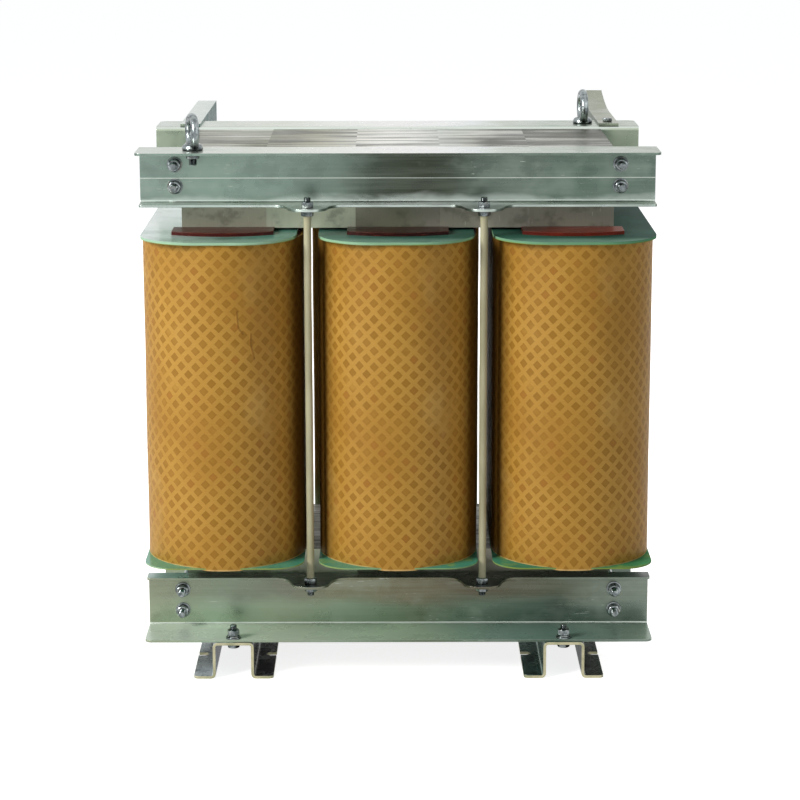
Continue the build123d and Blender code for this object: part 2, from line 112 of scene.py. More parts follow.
def add_node(tree: bpy.types.NodeTree, kind: str, settings: Mode | dict | None = None,
             inputs: tuple | dict = ()) -> Node:
    """Add one node, set it up and link it.

    Args:
        tree: node tree that receives the node.
        kind: node type without its "ShaderNode" start.
        settings: a Mode, or attribute names and values; "stops" holds (position, hex colour) pairs.
        inputs: values of the enabled sockets in order, or by name.

    Returns:
        The new node.
    """
    node = tree.nodes.new("ShaderNode" + kind)
    if isinstance(settings, Mode):
        settings = dict([settings.value])
    for name, value in (settings or {}).items():
        if name == "stops":
            elements = node.color_ramp.elements
            while len(elements) < len(value):
                elements.new(1.0)
            for element, (position, colour) in zip(elements, value):
                element.position, element.color = position, linear(colour)
        else:
            setattr(node, name, value)
    if isinstance(inputs, dict):
        connect(tree, [(node.inputs[key], value) for key, value in inputs.items()])
    else:
        connect(tree, zip([socket for socket in node.inputs if socket.enabled], inputs))
    return node


@dataclass(frozen=True)
class Pattern:
    """Noise stretched along the axes: features to the metre, finer detail, and a turn about Y."""

    scale: Place
    detail: float = 3.0
    roughness: float = 0.6
    turn: float = 0.0


class Bench:
    """A material under construction, with its shader and coordinates at hand."""

    def __init__(self, name: str) -> None:
        """Start the node tree.

        Args:
            name: name of the material.
        """
        self.material = bpy.data.materials.new(name)
        self.material.use_nodes = True
        self.tree = self.material.node_tree
        self.tree.nodes.clear()
        self.add = partial(add_node, self.tree)
        self.shader = self.add("BsdfPrincipled")
        self.add("OutputMaterial", None, (self.shader,))
        coordinates = self.add("TexCoord")
        self.place, self.uv = coordinates.outputs["Object"], coordinates.outputs["UV"]
        self.x, self.y, self.z = self.add("SeparateXYZ", None, (self.place,)).outputs
        self.normal = self.add("NewGeometry").outputs["Normal"]
        self.nx, self.ny, self.nz = self.add("SeparateXYZ", None, (self.normal,)).outputs

    def patterns(self, place: Node | bpy.types.NodeSocket, *patterns: Pattern) -> list[Node]:
        """Noises at a place.

        Args:
            place: coordinates.
            patterns: what each noise is like.

        Returns:
            One noise for each pattern.
        """
        noises = []
        for p in patterns:
            stretched = self.add("Mapping", None, {
                "Vector": place, "Rotation": (0.0, p.turn, 0.0), "Scale": p.scale})
            noises.append(self.add("TexNoise", None, (stretched, 1.0, p.detail, p.roughness)))
        return noises

    def where(self, *masks: Node | tuple | float) -> Node:
        """Share in which every mask holds, as the product of all.

        Args:
            masks: numbers, nodes, or (source, start, stop, least, most) for a smooth rise as the
                source goes from start to stop. The last two may be left out.

        Returns:
            The share.
        """
        shares = [self.add("MapRange", Mode.SMOOTH, mask) if isinstance(mask, tuple) else mask
                  for mask in masks]
        return reduce(lambda one, other: self.add("Math", Mode.TIMES, (one, other)), shares)

    def coats(self, colour: Node | str, *coats: tuple) -> Node:
        """Lay coats of colour over one another.

        Args:
            colour: what lies beneath.
            coats: a colour, and then the masks whose product says how far it covers.

        Returns:
            The colour with its coats.
        """
        for tint, *masks in coats:
            colour = self.add("Mix", Mode.COLOUR, (self.where(*masks), colour, tint))
        return colour

    def weighed(self, *pairs: tuple[Node, float]) -> Node:
        """Sum of nodes, each times its weight."""
        parts = [self.add("Math", Mode.TIMES, pair) for pair in pairs]
        return reduce(lambda one, other: self.add("Math", Mode.PLUS, (one, other)), parts)

    def relief(self, normal: Node | None, *layers: tuple[Node, float, float]) -> Node:
        """Carve a surface.

        Args:
            normal: normal to start from, or None for the mesh's own.
            layers: (height, distance in metres, strength).

        Returns:
            The carved normal.
        """
        for height, distance, strength in layers:
            start = {} if normal is None else {"Normal": normal}
            bump = {"Height": height, "Distance": distance, "Strength": strength}
            normal = self.add("Bump", None, bump | start)
        return normal

    def along(self, colours: Tones, wander: Node) -> Node:
        """Tones that follow X.

        Args:
            colours: (X in millimetres, hex colour).
            wander: noise that shifts them, by 9 mm for each tenth that it leaves one half.

        Returns:
            The colour.
        """
        add = self.add
        shift = add("Math", Mode.TIMES, (add("Math", Mode.LESS, (wander, 0.5)), 0.09))
        reach = TONE_REACH * MM
        share = add("MapRange", None, (add("Math", Mode.PLUS, (self.x, shift)), -reach, reach))
        return add("ValToRGB", {"stops": [(0.5 + x / TONE_REACH / 2, c) for x, c in colours]}, (share,))

    def rounded_edges(self, radius: float) -> tuple[Node, Node]:
        """Edges rounded, with a share along them that the finishes lighten for wear and, on metal, as a
        painted highlight.

        Args:
            radius: radius of the rounding, in metres.

        Returns:
            The rounded normal, and a share that is 1 where it leaves the true one.
        """
        soft = self.add("Bevel", {"samples": 4}, (radius,))
        agree = self.add("VectorMath", Mode.DOT, (soft, self.normal)).outputs["Value"]
        return soft, self.add("MapRange", Mode.SMOOTH, (agree, 0.995, 0.9))

    def finish(self, colour: Node, roughness: Node, normal: Node, **rest: Node | float) -> Material:
        """Set or link the shader's own sockets.

        Args:
            colour: base colour.
            roughness: roughness.
            normal: normal.
            rest: other sockets by name, with an underscore for each space.

        Returns:
            The material.
        """
        named = {"Base Color": colour, "Roughness": roughness, "Normal": normal}
        named.update({name.replace("_", " "): value for name, value in rest.items()})
        connect(self.tree, [(self.shader.inputs[name], value) for name, value in named.items()])
        return self.material


# ---- finishes ------------------------------------------------------------------------------
@dataclass(frozen=True)
class GalvanisedSheet:
    """Hot-dip galvanised steel sheet, folded cold.

    The zinc skin gives a cool grey metal sheen of middling gloss, with faint rolling lines along
    the sheet, cloudy stains from cooling, and bright scratches from handling. Each face has its own
    run of tones along X, which is painted light, shade and reflection: the up-facing tops lighter,
    the webs darkest in the middle.
    """

    name: str = "galvanised_sheet"
    # Runs of tones along X for each face: painted light, shade and reflection.
    high: Tones = ((-350, "#8EA298"), (-260, "#90A79A"), (-170, "#8EA398"), (-95, "#7D8F84"),
                   (-40, "#505A4F"), (30, "#454A3E"), (75, "#4E574C"), (125, "#6B7A6F"), (170, "#76867B"),
                   (270, "#6E8275"), (350, "#74877C"))
    low: Tones = ((-350, "#8D947E"), (-260, "#84907D"), (-170, "#7B7F70"), (-90, "#7F8069"),
                  (-30, "#7A7861"), (40, "#716C57"), (110, "#615B4B"), (230, "#5D6353"), (350, "#7A857A"))
    low_foot: Tones = ((-350, "#A0AC92"), (-260, "#99AE96"), (-170, "#96A38D"), (-90, "#8C9E89"),
                       (-30, "#7A8C77"), (40, "#6C7863"), (100, "#677A69"), (230, "#4F6257"),
                       (350, "#76847A"))
    low_top: Tones = ((-350, "#D2DECF"), (-270, "#E0ECDC"), (-170, "#CEDCC6"), (-90, "#BFD1BA"),
                      (-30, "#BED3B9"), (40, "#AEC5AA"), (100, "#93B19D"), (160, "#87A598"),
                      (230, "#709085"), (350, "#809583"))
    top: Tones = ((-350, "#BBC2BB"), (-170, "#C9CEC2"), (-90, "#DDE0DA"), (-20, "#E6E6E4"),
                  (60, "#E4E5E4"), (110, "#D6DBDB"), (160, "#B4BCB0"), (230, "#9DAA9D"), (350, "#98A294"))
    crease_z: float = 0.7146

    def ground(self, m: Bench, wide: Node, lift: Node, is_high: Node) -> Node:
        """Painted light, shade and reflection as tones of the webs and of the tops, before wear.

        Args:
            m: bench of the material.
            wide: broad clouds.
            lift: height, shifted by the clouds.
            is_high: share that is 1 on the upper clamps.

        Returns:
            The colour.
        """
        web = m.coats(m.along(self.low_foot, wide), (m.along(self.low, wide), (lift, 0.08, 0.106)),
                      (m.along(self.high, wide), is_high))
        # painted shade: the lower clamps' narrow flanges are dark under the coils and light beyond x = -0.3 m
        shade = m.coats("#A8BAB4", ("#262D25", (m.x, -0.305, -0.285)))
        narrow = m.add("MapRange", None, (m.z, 0.1, 0.11))
        top = m.coats(m.along(self.low_top, wide), (shade, narrow), (m.along(self.top, wide), is_high))
        # painted light: up-facing faces take the lighter tones of the tops
        return m.coats(web, (top, (m.nz, 0.5, 0.9)))

    def material(self) -> Material:
        """Ground tones, then stains, painted highlights on the bends, the crease and the lower band of
        the upper webs, painted light at the rear clamps' ends, and scratches over them.

        Returns:
            The material.
        """
        m = Bench(self.name)
        add = m.add
        wide, streak, stain, strokes = m.patterns(
            m.place, Pattern((6, 9, 16), 4.0), Pattern((7, 190, 260)), Pattern((26, 34, 30), roughness=0.55),
            Pattern((45, 700, 620), 2.0, 0.5, turn=0.5))
        lift = add("Math", Mode.PLUS, (m.z, m.where(add("Math", Mode.LESS, (wide, 0.5)), 0.05)))
        is_high = add("MapRange", None, (m.z, 0.3, 0.4))
        faces_y = add("MapRange", None, (add("Math", Mode.SIZE, (m.ny,)), 0.8, 0.9))
        at_rear = add("MapRange", None, (m.y, 0.1, 0.12))
        faces_front = add("MapRange", None, (m.ny, -0.8, -0.9))
        off = add("Math", Mode.SIZE, (add("Math", Mode.LESS, (m.z, self.crease_z)),))
        crease = m.where((off, 0.0009, 0.0003), faces_y)
        soft, edge = m.rounded_edges(0.0012)
        colour = m.coats(
            self.ground(m, wide, lift, is_high),
            ("#B9C6B8", (m.weighed((wide, 0.6), (stain, 0.4)), 0.5, 0.66, 0.0, 0.2)),
            ("#4A534A", (stain, 0.46, 0.28, 0.0, 0.12)),
            ("#A9B4A8", (streak, 0.35, 0.68, 0.0, 0.12)),
            # painted highlight on the bends, where faces turn between upright and flat
            ("#E2EAE2", (m.nz, 0.12, 0.4), (m.nz, 0.97, 0.8), 0.8),
            # painted highlight: a light band, broken by clouds, along the lower part of the upper webs
            ("#E0EDE6", (lift, 0.692, 0.68), is_high, (wide, 0.35, 0.6, 0.5, 0.9), faces_y),
            # painted light at the outer ends of the rear upper clamps' front faces
            ("#B4C0A8", (add("Math", Mode.SIZE, (m.x,)), 0.3, 0.33, 0.0, 0.75),
             at_rear, faces_front, is_high),
            # painted highlight along the crease line of the webs
            ("#D5DED4", crease, (streak, 0.3, 0.55, 0.55, 0.95)),
            ("#D8E0D8", (strokes, 0.69, 0.75), (wide, 0.48, 0.62, 0.05, 0.8)),
            # lighter edges: wear, and a painted highlight along them
            ("#C9D0C6", edge, 0.35))
        rough = add("MapRange", Mode.SMOOTH, (stain, 0.3, 0.75, 0.24, 0.4))
        rolled = m.weighed((streak, 0.7), (crease, -1.0))
        low_top = m.where(add("MapRange", None, (m.z, 0.1, 0.09)), add("MapRange", None, (m.nz, 0.6, 0.9)))
        return m.finish(colour, rough, m.relief(soft, (wide, 0.0012, 0.3), (rolled, 0.00008, 0.6)),
                        Metallic=add("MapRange", None, (low_top, 0.0, 1.0, 0.92, 0.35)))


@dataclass(frozen=True)
class FootZinc:
    """Electro-plated zinc on hot-rolled steel strip.

    The plating is glossy and mottled; the sawn ends keep a straw tint and are rougher. The tones
    along X are painted reflection and shade: pale on the left foot's outer flange, near black in
    the middle, teal and then dark on the right foot.
    """

    name: str = "foot_zinc"
    tones: Tones = ((-300, "#C6CED6"), (-262, "#A5AFB8"), (-232, "#2B3235"), (-150, "#1E2426"),
                    (150, "#6E9A8E"), (222, "#557C70"), (250, "#34443A"), (300, "#2C3A30"))
    cut: str = "#CDC7A6"

    def material(self) -> Material:
        """Painted tones along X with mottling and pale patches to the left; ends, notch walls and lower
        rims are straw coloured.

        Returns:
            The material.
        """
        m = Bench(self.name)
        add = m.add
        patch, streak = m.patterns(m.place, Pattern((38, 30, 38), 5.0, 0.62), Pattern((160, 8, 160)))
        # painted reflection and shade: tones along X, pale patches stronger to the left as painted light
        face = m.coats(m.along(self.tones, streak),
                       ("#C8D0D2", (patch, 0.52, 0.66, 0.0, 0.45),
                        add("MapRange", None, (m.x, -0.1, -0.25, 0.12, 1.0))),
                       ("#20272B", (patch, 0.46, 0.34, 0.0, 0.6)))
        ends = add("MapRange", Mode.SMOOTH, (add("Math", Mode.SIZE, (m.ny,)), 0.5, 0.9))
        faces_x = add("MapRange", None, (add("Math", Mode.SIZE, (m.nx,)), 0.6, 0.9))
        soft, edge = m.rounded_edges(0.0009)
        colour = m.coats(face, (m.coats(self.cut, ("#A6A684", (patch, 0.35, 0.65))), ends),
                         ("#B9B596", faces_x, add("MapRange", None, (m.z, 0.006, 0.004)), 0.85),
                         # lighter edges: wear, and a painted highlight along them
                         ("#C9C6AE", edge, 0.6))
        rough = m.weighed((add("MapRange", Mode.SMOOTH, (patch, 0.3, 0.7, 0.18, 0.34)), 1.0), (ends, 0.2))
        return m.finish(colour, rough, m.relief(soft, (patch, 0.0008, 0.3), (streak, 0.00005, 0.6)),
                        Metallic=add("MapRange", None, (m.x, -0.25, -0.22, 0.4, 0.88)))


@dataclass(frozen=True)
class LaminatedCore:
    """Stack of silicon steel sheets, cut and laid by hand.

    Front and rear show one whole sheet with its matt grey coating and a few handling scratches,
    under tones along X that are painted light and shade. Every other side shows the sheets' edges:
    fine bright and dark lines along the stack, a darker line between packets, and a breath of rust;
    on the up-facing sides the tones along X are painted light and shade, and the bright lines are
    stronger there as a painted highlight. A sheet is 0.3 mm; the lines are drawn 1 mm wide and
    more, as finer ones don't show.
    """

    name: str
    face: Tones
    seed: float
    edges: Tones = ((-307, "#6C6F5F"), (-245, "#8E9284"), (-190, "#71755F"), (-150, "#6F6D5C"),
                    (-110, "#A6A590"), (-65, "#CBCCC2"), (-20, "#EDEDE7"), (25, "#E6E7E2"),
                    (70, "#BABFB9"), (112, "#A6AA9F"), (145, "#33362A"), (190, "#2E3125"),
                    (240, "#3A3E2E"), (307, "#363A2B"))
    packet: float = 0.0218

    def material(self) -> Material:
        """Sheet face where the normal is along Y, sheet edges elsewhere.

        Returns:
            The material.
        """
        m = Bench(self.name)
        add = m.add
        own = add("VectorMath", Mode.PLUS, (m.place, (self.seed,) * 3))
        cloud, grain, mottle, strokes = m.patterns(
            own, Pattern((9, 9, 7), 4.0), Pattern((260, 30, 9), 2.0, 0.5), Pattern((34, 30, 40), 4.0),
            Pattern((420, 30, 60), 2.0, 0.5, turn=0.9))
        sheets, packets, broad, rust = m.patterns(
            own, Pattern((5, 620, 5), 3.0, 0.75), Pattern((3, 95, 3), 2.0), Pattern((4, 27, 3), 2.0, 0.55),
            Pattern((30, 60, 30), 4.0))
        across = add("MapRange", Mode.SMOOTH, (add("Math", Mode.SIZE, (m.ny,)), 0.5, 0.9))
        # painted light and shade: the faces' tones along X
        skin = m.coats(m.along(self.face, cloud),
                       ("#A3A294", (cloud, 0.5, 0.7, 0.0, 0.3)), ("#3E3D34", (grain, 0.45, 0.75, 0.0, 0.06)),
                       ("#4C4E40", (mottle, 0.5, 0.32, 0.0, 0.4)),
                       ("#C9C8B8", (strokes, 0.68, 0.76, 0.0, 0.6)))
        lines = m.weighed((sheets, 0.25), (packets, 0.3), (broad, 0.45))
        up = add("MapRange", None, (m.nz, 0.5, 0.8))
        fold = add("Math", Mode.FOLD, (add("Math", Mode.PLUS, (m.y, 0.131)), self.packet / 2))
        # painted light and shade: up-facing tones along X, bright in the middle, dark to the right
        stack = m.coats("#6F6B60", (m.along(self.edges, cloud), up),
                        ("#3B3A30", (lines, 0.5, 0.42, 0.0, 0.85)),
                        # bright sheet-edge lines, stronger on up-facing sides as a painted highlight
                        ("#EDECE4", (lines, 0.52, 0.58), add("MapRange", None, (up, 0.0, 1.0, 0.3, 0.62))),
                        ("#2A2820", (fold, 0.0011, 0.0003, 0.0, 0.75)),
                        ("#6E5338", (rust, 0.6, 0.78, 0.0, 0.3)))
        rough = add("MapRange", Mode.SMOOTH, (cloud, 0.3, 0.7, 0.32, 0.46))
        height = add("Mix", Mode.COLOUR, (across, lines, grain))
        normal = m.relief(add("Bevel", {"samples": 4}, (0.0006,)), (height, 0.0002, 0.5))
        return m.finish(m.coats(stack, (skin, across)), rough, normal, Metallic=0.6)


@dataclass(frozen=True)
class DottedPaper:
    """Insulating kraft paper with printed resin diamonds, cured in the oven to an amber varnish.

    The ground is light tan and satin, the diamonds are browner, and each differs slightly from the
    next. The UV map holds metres along the wrap and metres up; a diamond's side is 9.5 mm and the
    rows are 15.9 mm apart.
    """

    name: str = "dotted_paper"
    ground: str = "#B58A3C"
    diamond: str = "#956B22"
    pitch: float = 0.0159
    side: float = 0.0095

    def diamonds(self, m: Bench, fibre: Node) -> tuple[Node, Node]:
        """Printed diamonds: turned by 45 degrees, a point is in one where both folds are large.

        Args:
            m: bench of the material.
            fibre: fine noise that frays the print's edge.

        Returns:
            Share that is 1 in a diamond, and the diamonds' colour.
        """
        add = m.add
        wander = add("TexNoise", None, (m.uv, 14.0, 2.0, 0.5))
        sway = add("CombineXYZ", None, (m.where(wander, 0.2), m.where(wander, -0.16)))
        turned = add("Mapping", None, {"Vector": m.uv, "Rotation": (0.0, 0.0, math.radians(45)),
                                       "Scale": (1 / self.pitch,) * 3})
        a, b, _ = add("SeparateXYZ", None, (add("VectorMath", Mode.PLUS, (turned, sway)),)).outputs
        inner = add("Math", Mode.LEAST, (add("Math", Mode.FOLD, (a, 0.5)), add("Math", Mode.FOLD, (b, 0.5))))
        limit = 0.5 - self.side / self.pitch / 2
        ragged = m.weighed((inner, 1.0), (add("Math", Mode.LESS, (fibre, 0.5)), 0.05))
        mask = add("MapRange", Mode.SMOOTH, (ragged, limit - 0.04, limit + 0.03))
        cell = add("CombineXYZ", None, (add("Math", Mode.WHOLE, (a,)), add("Math", Mode.WHOLE, (b,))))
        chance = add("TexWhiteNoise", {"noise_dimensions": "2D"}, (cell,))
        return mask, m.coats(self.diamond, ("#A0742A", chance),
                             ("#A2692A", (add("Math", Mode.FOLD, (chance, 0.25)), 0.2, 0.25, 0.0, 0.5)),
                             ("#855A1A", (inner, limit + 0.14, limit + 0.02, 0.0, 0.3)))

    def material(self) -> Material:
        """Ground, print, fibres, stains, and then painted shade between the coils and in the folds, and
        the hem.

        Returns:
            The material.
        """
        m = Bench(self.name)
        add = m.add
        tone, fibre = m.patterns(m.uv, Pattern((7, 5, 7), 3.0, 0.5), Pattern((110, 420, 90)))
        blot = add("TexNoise", None, (m.uv, 17.0, 4.0, 0.6))
        stain = add("TexNoise", None, (m.uv, 6.0, 4.0, 0.6, 2.0, 0.6))
        frayed = add("TexNoise", None, (m.uv, 90.0, 2.0, 0.5))
        mask, dots = self.diamonds(m, fibre)
        crease, hem = [add("Attribute", {"attribute_name": name}).outputs["Fac"]
                       for name in ("crease", "hem")]
        faces_x = add("Math", Mode.SIZE, (m.nx,))
        colour = m.coats(
            self.ground, ("#A97D31", (tone, 0.35, 0.65)),
            (dots, mask, (blot, 0.56, 0.72, 1.0, 0.4)),
            ("#8A5E1C", (fibre, 0.38, 0.8, 0.0, 0.2)),
            ("#8F5F1E", (stain, 0.56, 0.74, 0.0, 0.35)), ("#D0AC62", (stain, 0.42, 0.28, 0.0, 0.25)),
            # painted shade on the sides that face a neighbouring coil
            ("#3F270C", (faces_x, 0.72, 0.98),
             add("MapRange", None, (add("Math", Mode.SIZE, (m.x,)), 0.35, 0.3, 0.0, 0.75))),
            # painted shade in the creases
            ("#74470F", crease, 0.55),
            ("#DDBB7E", hem, (frayed, 0.3, 0.5, 0.3, 0.9)))
        rough = add("MapRange", Mode.SMOOTH, (fibre, 0.3, 0.8, 0.42, 0.56))
        normal = m.relief(None, (tone, 0.003, 0.25), (m.weighed((mask, 0.5), (fibre, 0.8)), 0.00012, 0.5))
        return m.finish(colour, rough, normal, Specular_IOR_Level=0.2)


@dataclass(frozen=True)
class GlassLaminate:
    """Green epoxy glass laminate, pressed flat and sawn.

    The faces are smooth and deep teal with the cloth just under the resin. On the top plates the
    tones along X are a painted reflection, near white to the left and near black to the right, with
    a lighter painted band along the front. The sawn edges are pale and matt, with a yellow-green ply
    at the bottom, and darken to the right as painted shade. The cloth's threads are drawn 1.8 mm
    apart, as the real 0.5 mm doesn't show.
    """

    name: str = "glass_laminate"
    tones: Tones = ((-380, "#EAF4F1"), (-300, "#B4D8CD"), (-200, "#66A592"), (-60, "#48796B"),
                    (60, "#365F51"), (180, "#2F6352"), (300, "#17392F"), (380, "#102B23"))
    low_tones: Tones = ((-380, "#57A98C"), (-150, "#4F9C80"), (60, "#47917A"), (240, "#3F8560"),
                        (380, "#3C7F48"))
    edges: Tones = ((-380, "#A9CDB4"), (-120, "#98BFA0"), (60, "#84AE8F"), (200, "#6F9E82"),
                    (380, "#4A8266"))
    thread: float = 0.0009

    def material(self) -> Material:
        """Cloth is a fold of X times a fold of Y; side faces are the pale sawn edge.

        Returns:
            The material.
        """
        m = Bench(self.name)
        add = m.add
        flat = add("MapRange", Mode.SMOOTH, (add("Math", Mode.SIZE, (m.nz,)), 0.6, 0.9))
        patch = add("TexNoise", None, (m.place, 16.0, 3.0, 0.55))
        drip = add("TexNoise", None, (m.place, 22.0, 3.0, 0.6))
        ply, = m.patterns(m.place, Pattern((9, 9, 1500), 2.0))
        cloth = m.where(*[
            add("MapRange", None, (add("Math", Mode.FOLD, (axis, self.thread)), 0.0, self.thread))
            for axis in (m.x, m.y)])
        low_face = m.coats(m.along(self.low_tones, patch), ("#86A344", (drip, 0.52, 0.66, 0.0, 0.6)))
        # painted reflection: top-plate tones along X and a lighter band along the front
        high_face = m.coats(m.along(self.tones, patch), ("#9CC4AE", (m.y, -0.2, -0.232, 0.0, 0.55)))
        face = m.coats(low_face, (high_face, add("MapRange", None, (m.z, 0.3, 0.4))),
                       ("#24584A", (patch, 0.5, 0.7, 0.0, 0.35)), ("#6FB29A", cloth, 0.2))
        lowest = add("Math", Mode.MOST, (add("MapRange", None, (m.z, 0.6368, 0.6362)),
                                         add("MapRange", None, (m.z, 0.1712, 0.1706))))
        # painted shade: the sawn edges darken to the right
        saw = m.coats(m.along(self.edges, patch), ("#6E9C6A", (ply, 0.35, 0.65, 0.0, 0.5)),
                      ("#7F8F33", lowest, (patch, 0.4, 0.6, 0.3, 0.85)))
        rough = add("Math", Mode.PLUS, (add("MapRange", None, (m.x, -0.3, 0.2, 0.12, 0.55)),
                                        add("MapRange", None, (flat, 0.0, 1.0, 0.25, 0.0))))
        normal = m.relief(add("Bevel", {"samples": 4}, (0.0006,)),
                          (m.weighed((cloth, 0.4), (patch, 1.0)), 0.0004, 0.3))
        return m.finish(m.coats(saw, (face, flat)), rough, normal,
                        Specular_IOR_Level=add("MapRange", None, (m.x, -0.3, 0.1, 0.45, 0.06)))


@dataclass(frozen=True)
class Phenolic:
    """Maroon phenolic cotton board, sawn and varnished.

    Deep red-brown with a soft gloss, a fine grain along its length and chipped, lighter edges.
    """

    name: str = "phenolic"
    tones: Tones = ((-320, "#42110E"), (-180, "#44110E"), (0, "#240A08"), (90, "#300D0A"),
                    (180, "#6A2015"), (320, "#782818"))

    def material(self) -> Material:
        """Grain runs along X; edges are worn lighter.

        Returns:
            The material.
        """
        m = Bench(self.name)
        grain, = m.patterns(m.place, Pattern((20, 300, 700), 4.0))
        patch = m.add("TexNoise", None, (m.place, 34.0, 3.0, 0.55))
        soft, edge = m.rounded_edges(0.0009)
        colour = m.coats(m.along(self.tones, patch), ("#2A0E0C", (patch, 0.45, 0.7, 0.0, 0.4)),
                         ("#8A3C28", (grain, 0.5, 0.72, 0.0, 0.3)),
                         ("#A86A55", edge, (patch, 0.42, 0.58, 0.1, 0.6)))
        rough = m.add("MapRange", Mode.SMOOTH, (grain, 0.3, 0.7, 0.26, 0.42))
        normal = m.relief(soft, (m.weighed((grain, 1.0), (patch, 1.0)), 0.0003, 0.5))
        return m.finish(colour, rough, normal, Specular_IOR_Level=0.15)


@dataclass(frozen=True)
class WovenSleeve:
    """Braided glass sleeving soaked with varnish: cream, satin, with a fine diagonal braid.

    The UV map holds metres round and up. Strands are drawn 1.8 mm apart, as the real 0.8 mm
    doesn't show.
    """

    name: str = "sleeve"
    strand: str = "#C4C09F"
    gap: str = "#8F8B6C"

    def material(self) -> Material:
        """Braid: two sets of strands at 45 degrees, each a folded distance.

        Returns:
            The material.
        """
        m = Bench(self.name)
        add = m.add
        turned = add("Mapping", None, {"Vector": m.uv, "Rotation": (0.0, 0.0, math.radians(45))})
        a, b, _ = add("SeparateXYZ", None, (turned,)).outputs
        braid = add("Math", Mode.MOST, tuple(
            add("MapRange", Mode.SMOOTH, (add("Math", Mode.FOLD, (axis, 0.0009)), 0.0, 0.0007))
            for axis in (a, b)))
        patch, = m.patterns(m.place, Pattern((30, 30, 9)))
        strand = m.coats(self.strand, ("#A8A483", (patch, 0.35, 0.7)))
        rough = add("MapRange", None, (patch, 0.3, 0.7, 0.4, 0.55))
        return m.finish(m.coats(self.gap, (strand, braid)), rough, m.relief(None, (braid, 0.0003, 0.6)),
                        Sheen_Weight=0.1)


@dataclass(frozen=True)
class BrightZinc:
    """Bright zinc plating on forged and rolled steel fasteners.

    A cool, fairly glossy grey with duller spots, a trace of straw tint, and painted shade in the
    corners and threads.
    """

    name: str = "zinc_fasteners"
    face: str = "#A3ABAC"
    dull: str = "#666E70"

    def material(self) -> Material:
        """Small patches of dull and bright plating; painted shade darkens corners where little sky is seen.

        Returns:
            The material.
        """
        m = Bench(self.name)
        add = m.add
        patch = add("TexNoise", None, (m.place, 150.0, 4.0, 0.6))
        fine = add("TexNoise", None, (m.place, 900.0, 2.0, 0.6))
        straw = add("TexNoise", None, (m.place, 70.0, 2.0, 0.5))
        open_sky = add("AmbientOcclusion", {"samples": 6}, {"Distance": 0.014}).outputs["AO"]
        colour = m.coats(self.face, (self.dull, (patch, 0.38, 0.66)),
                         ("#A39C82", (straw, 0.55, 0.75, 0.0, 0.3)),
                         # painted shade in corners and threads, from ambient occlusion
                         ("#171B1B", (open_sky, 0.9, 0.4, 0.0, 0.92)))
        rough = add("MapRange", Mode.SMOOTH, (patch, 0.3, 0.7, 0.14, 0.3))
        return m.finish(colour, rough, m.relief(None, (fine, 0.00008, 0.5)), Metallic=1.0)


@dataclass(frozen=True)
class EnamelledCopper:
    """Copper winding wire under clear amber enamel, laid turn over turn: red-brown and glossy."""

    name: str = "copper"
    half_turn: float = 0.002

    def material(self) -> Material:
        """Turns are folds of Z.

        Returns:
            The material.
        """
        m = Bench(self.name)
        turn = m.add("Math", Mode.FOLD, (m.z, self.half_turn))
        patch = m.add("TexNoise", None, (m.place, 20.0, 3.0, 0.5))
        colour = m.coats("#A85A2C", ("#7E3C1C", (patch, 0.3, 0.7)), ("#2E1710", (turn, 0.0005, 0.0)))
        rough = m.add("MapRange", None, (patch, 0.3, 0.7, 0.25, 0.4))
        return m.finish(colour, rough, m.relief(None, (turn, 0.0005, 0.8)), Metallic=0.85)


@dataclass(frozen=True)
class FormerWood:
    """Pressed board and beech packing, planed: pale brown and matt, with grain along the limb."""

    name: str = "former_wood"

    def material(self) -> Material:
        """Grain stretched along Z.

        Returns:
            The material.
        """
        m = Bench(self.name)
        stretched = m.add("Mapping", None, {"Vector": m.place, "Scale": (120, 120, 5)})
        grain = m.add("TexNoise", None, (stretched, 1.0, 4.0, 0.6, 2.0, 0.5))
        stops = [(0.3, "#8C6236"), (0.55, "#B58B54"), (0.75, "#C9A26C")]
        colour = m.add("ValToRGB", {"stops": stops}, (grain,))
        rough = m.add("MapRange", None, (grain, 0.3, 0.7, 0.5, 0.66))
        return m.finish(colour, rough, m.relief(None, (grain, 0.0003, 0.5)))


@dataclass(frozen=True)
class BarrierBoard:
    """Aramid board of the cooling duct, calendered: off-white and matt, with short fibres."""

    name: str = "barrier_board"

    def material(self) -> Material:
        """Fine fibres over a pale ground.

        Returns:
            The material.
        """
        m = Bench(self.name)
        fibre, = m.patterns(m.place, Pattern((300, 300, 120), 4.0))
        rough = m.add("MapRange", None, (fibre, 0.3, 0.7, 0.55, 0.7))
        colour = m.coats("#D8CFB0", ("#C2B48C", (fibre, 0.35, 0.7)))
        return m.finish(colour, rough, m.relief(None, (fibre, 0.0002, 0.5)))


# ---- surfaces ------------------------------------------------------------------------------
@dataclass
class Surface:
    """Grid of points, rows by columns by three, in millimetres.

    Faces point along (next column) x (next row): counter-clockwise columns and rising rows face out.
    """

    points: np.ndarray
    close_rows: bool = False
    close_columns: bool = True
    uv: np.ndarray | None = None
    marks: dict[str, np.ndarray] = field(default_factory=dict)

    def quads(self) -> np.ndarray:
        """Faces between neighbouring rows and columns.

        Returns:
            Vertex numbers, four in each row.
        """
        rows, columns = self.points.shape[:2]
        row, column = np.meshgrid(np.arange(rows - (not self.close_rows)),
                                  np.arange(columns - (not self.close_columns)), indexing="ij")
        after_row, after_column = (row + 1) % rows, (column + 1) % columns
        return np.stack([row * columns + column, row * columns + after_column,
                         after_row * columns + after_column, after_row * columns + column], -1).reshape(-1, 4)

    def placed(self, turn: np.ndarray, place: Place) -> "Surface":
        """Copy turned by a 3 x 3 matrix and then moved."""
        points = self.points @ turn.T + np.array(place)
        return Surface(points, self.close_rows, self.close_columns, self.uv, self.marks)


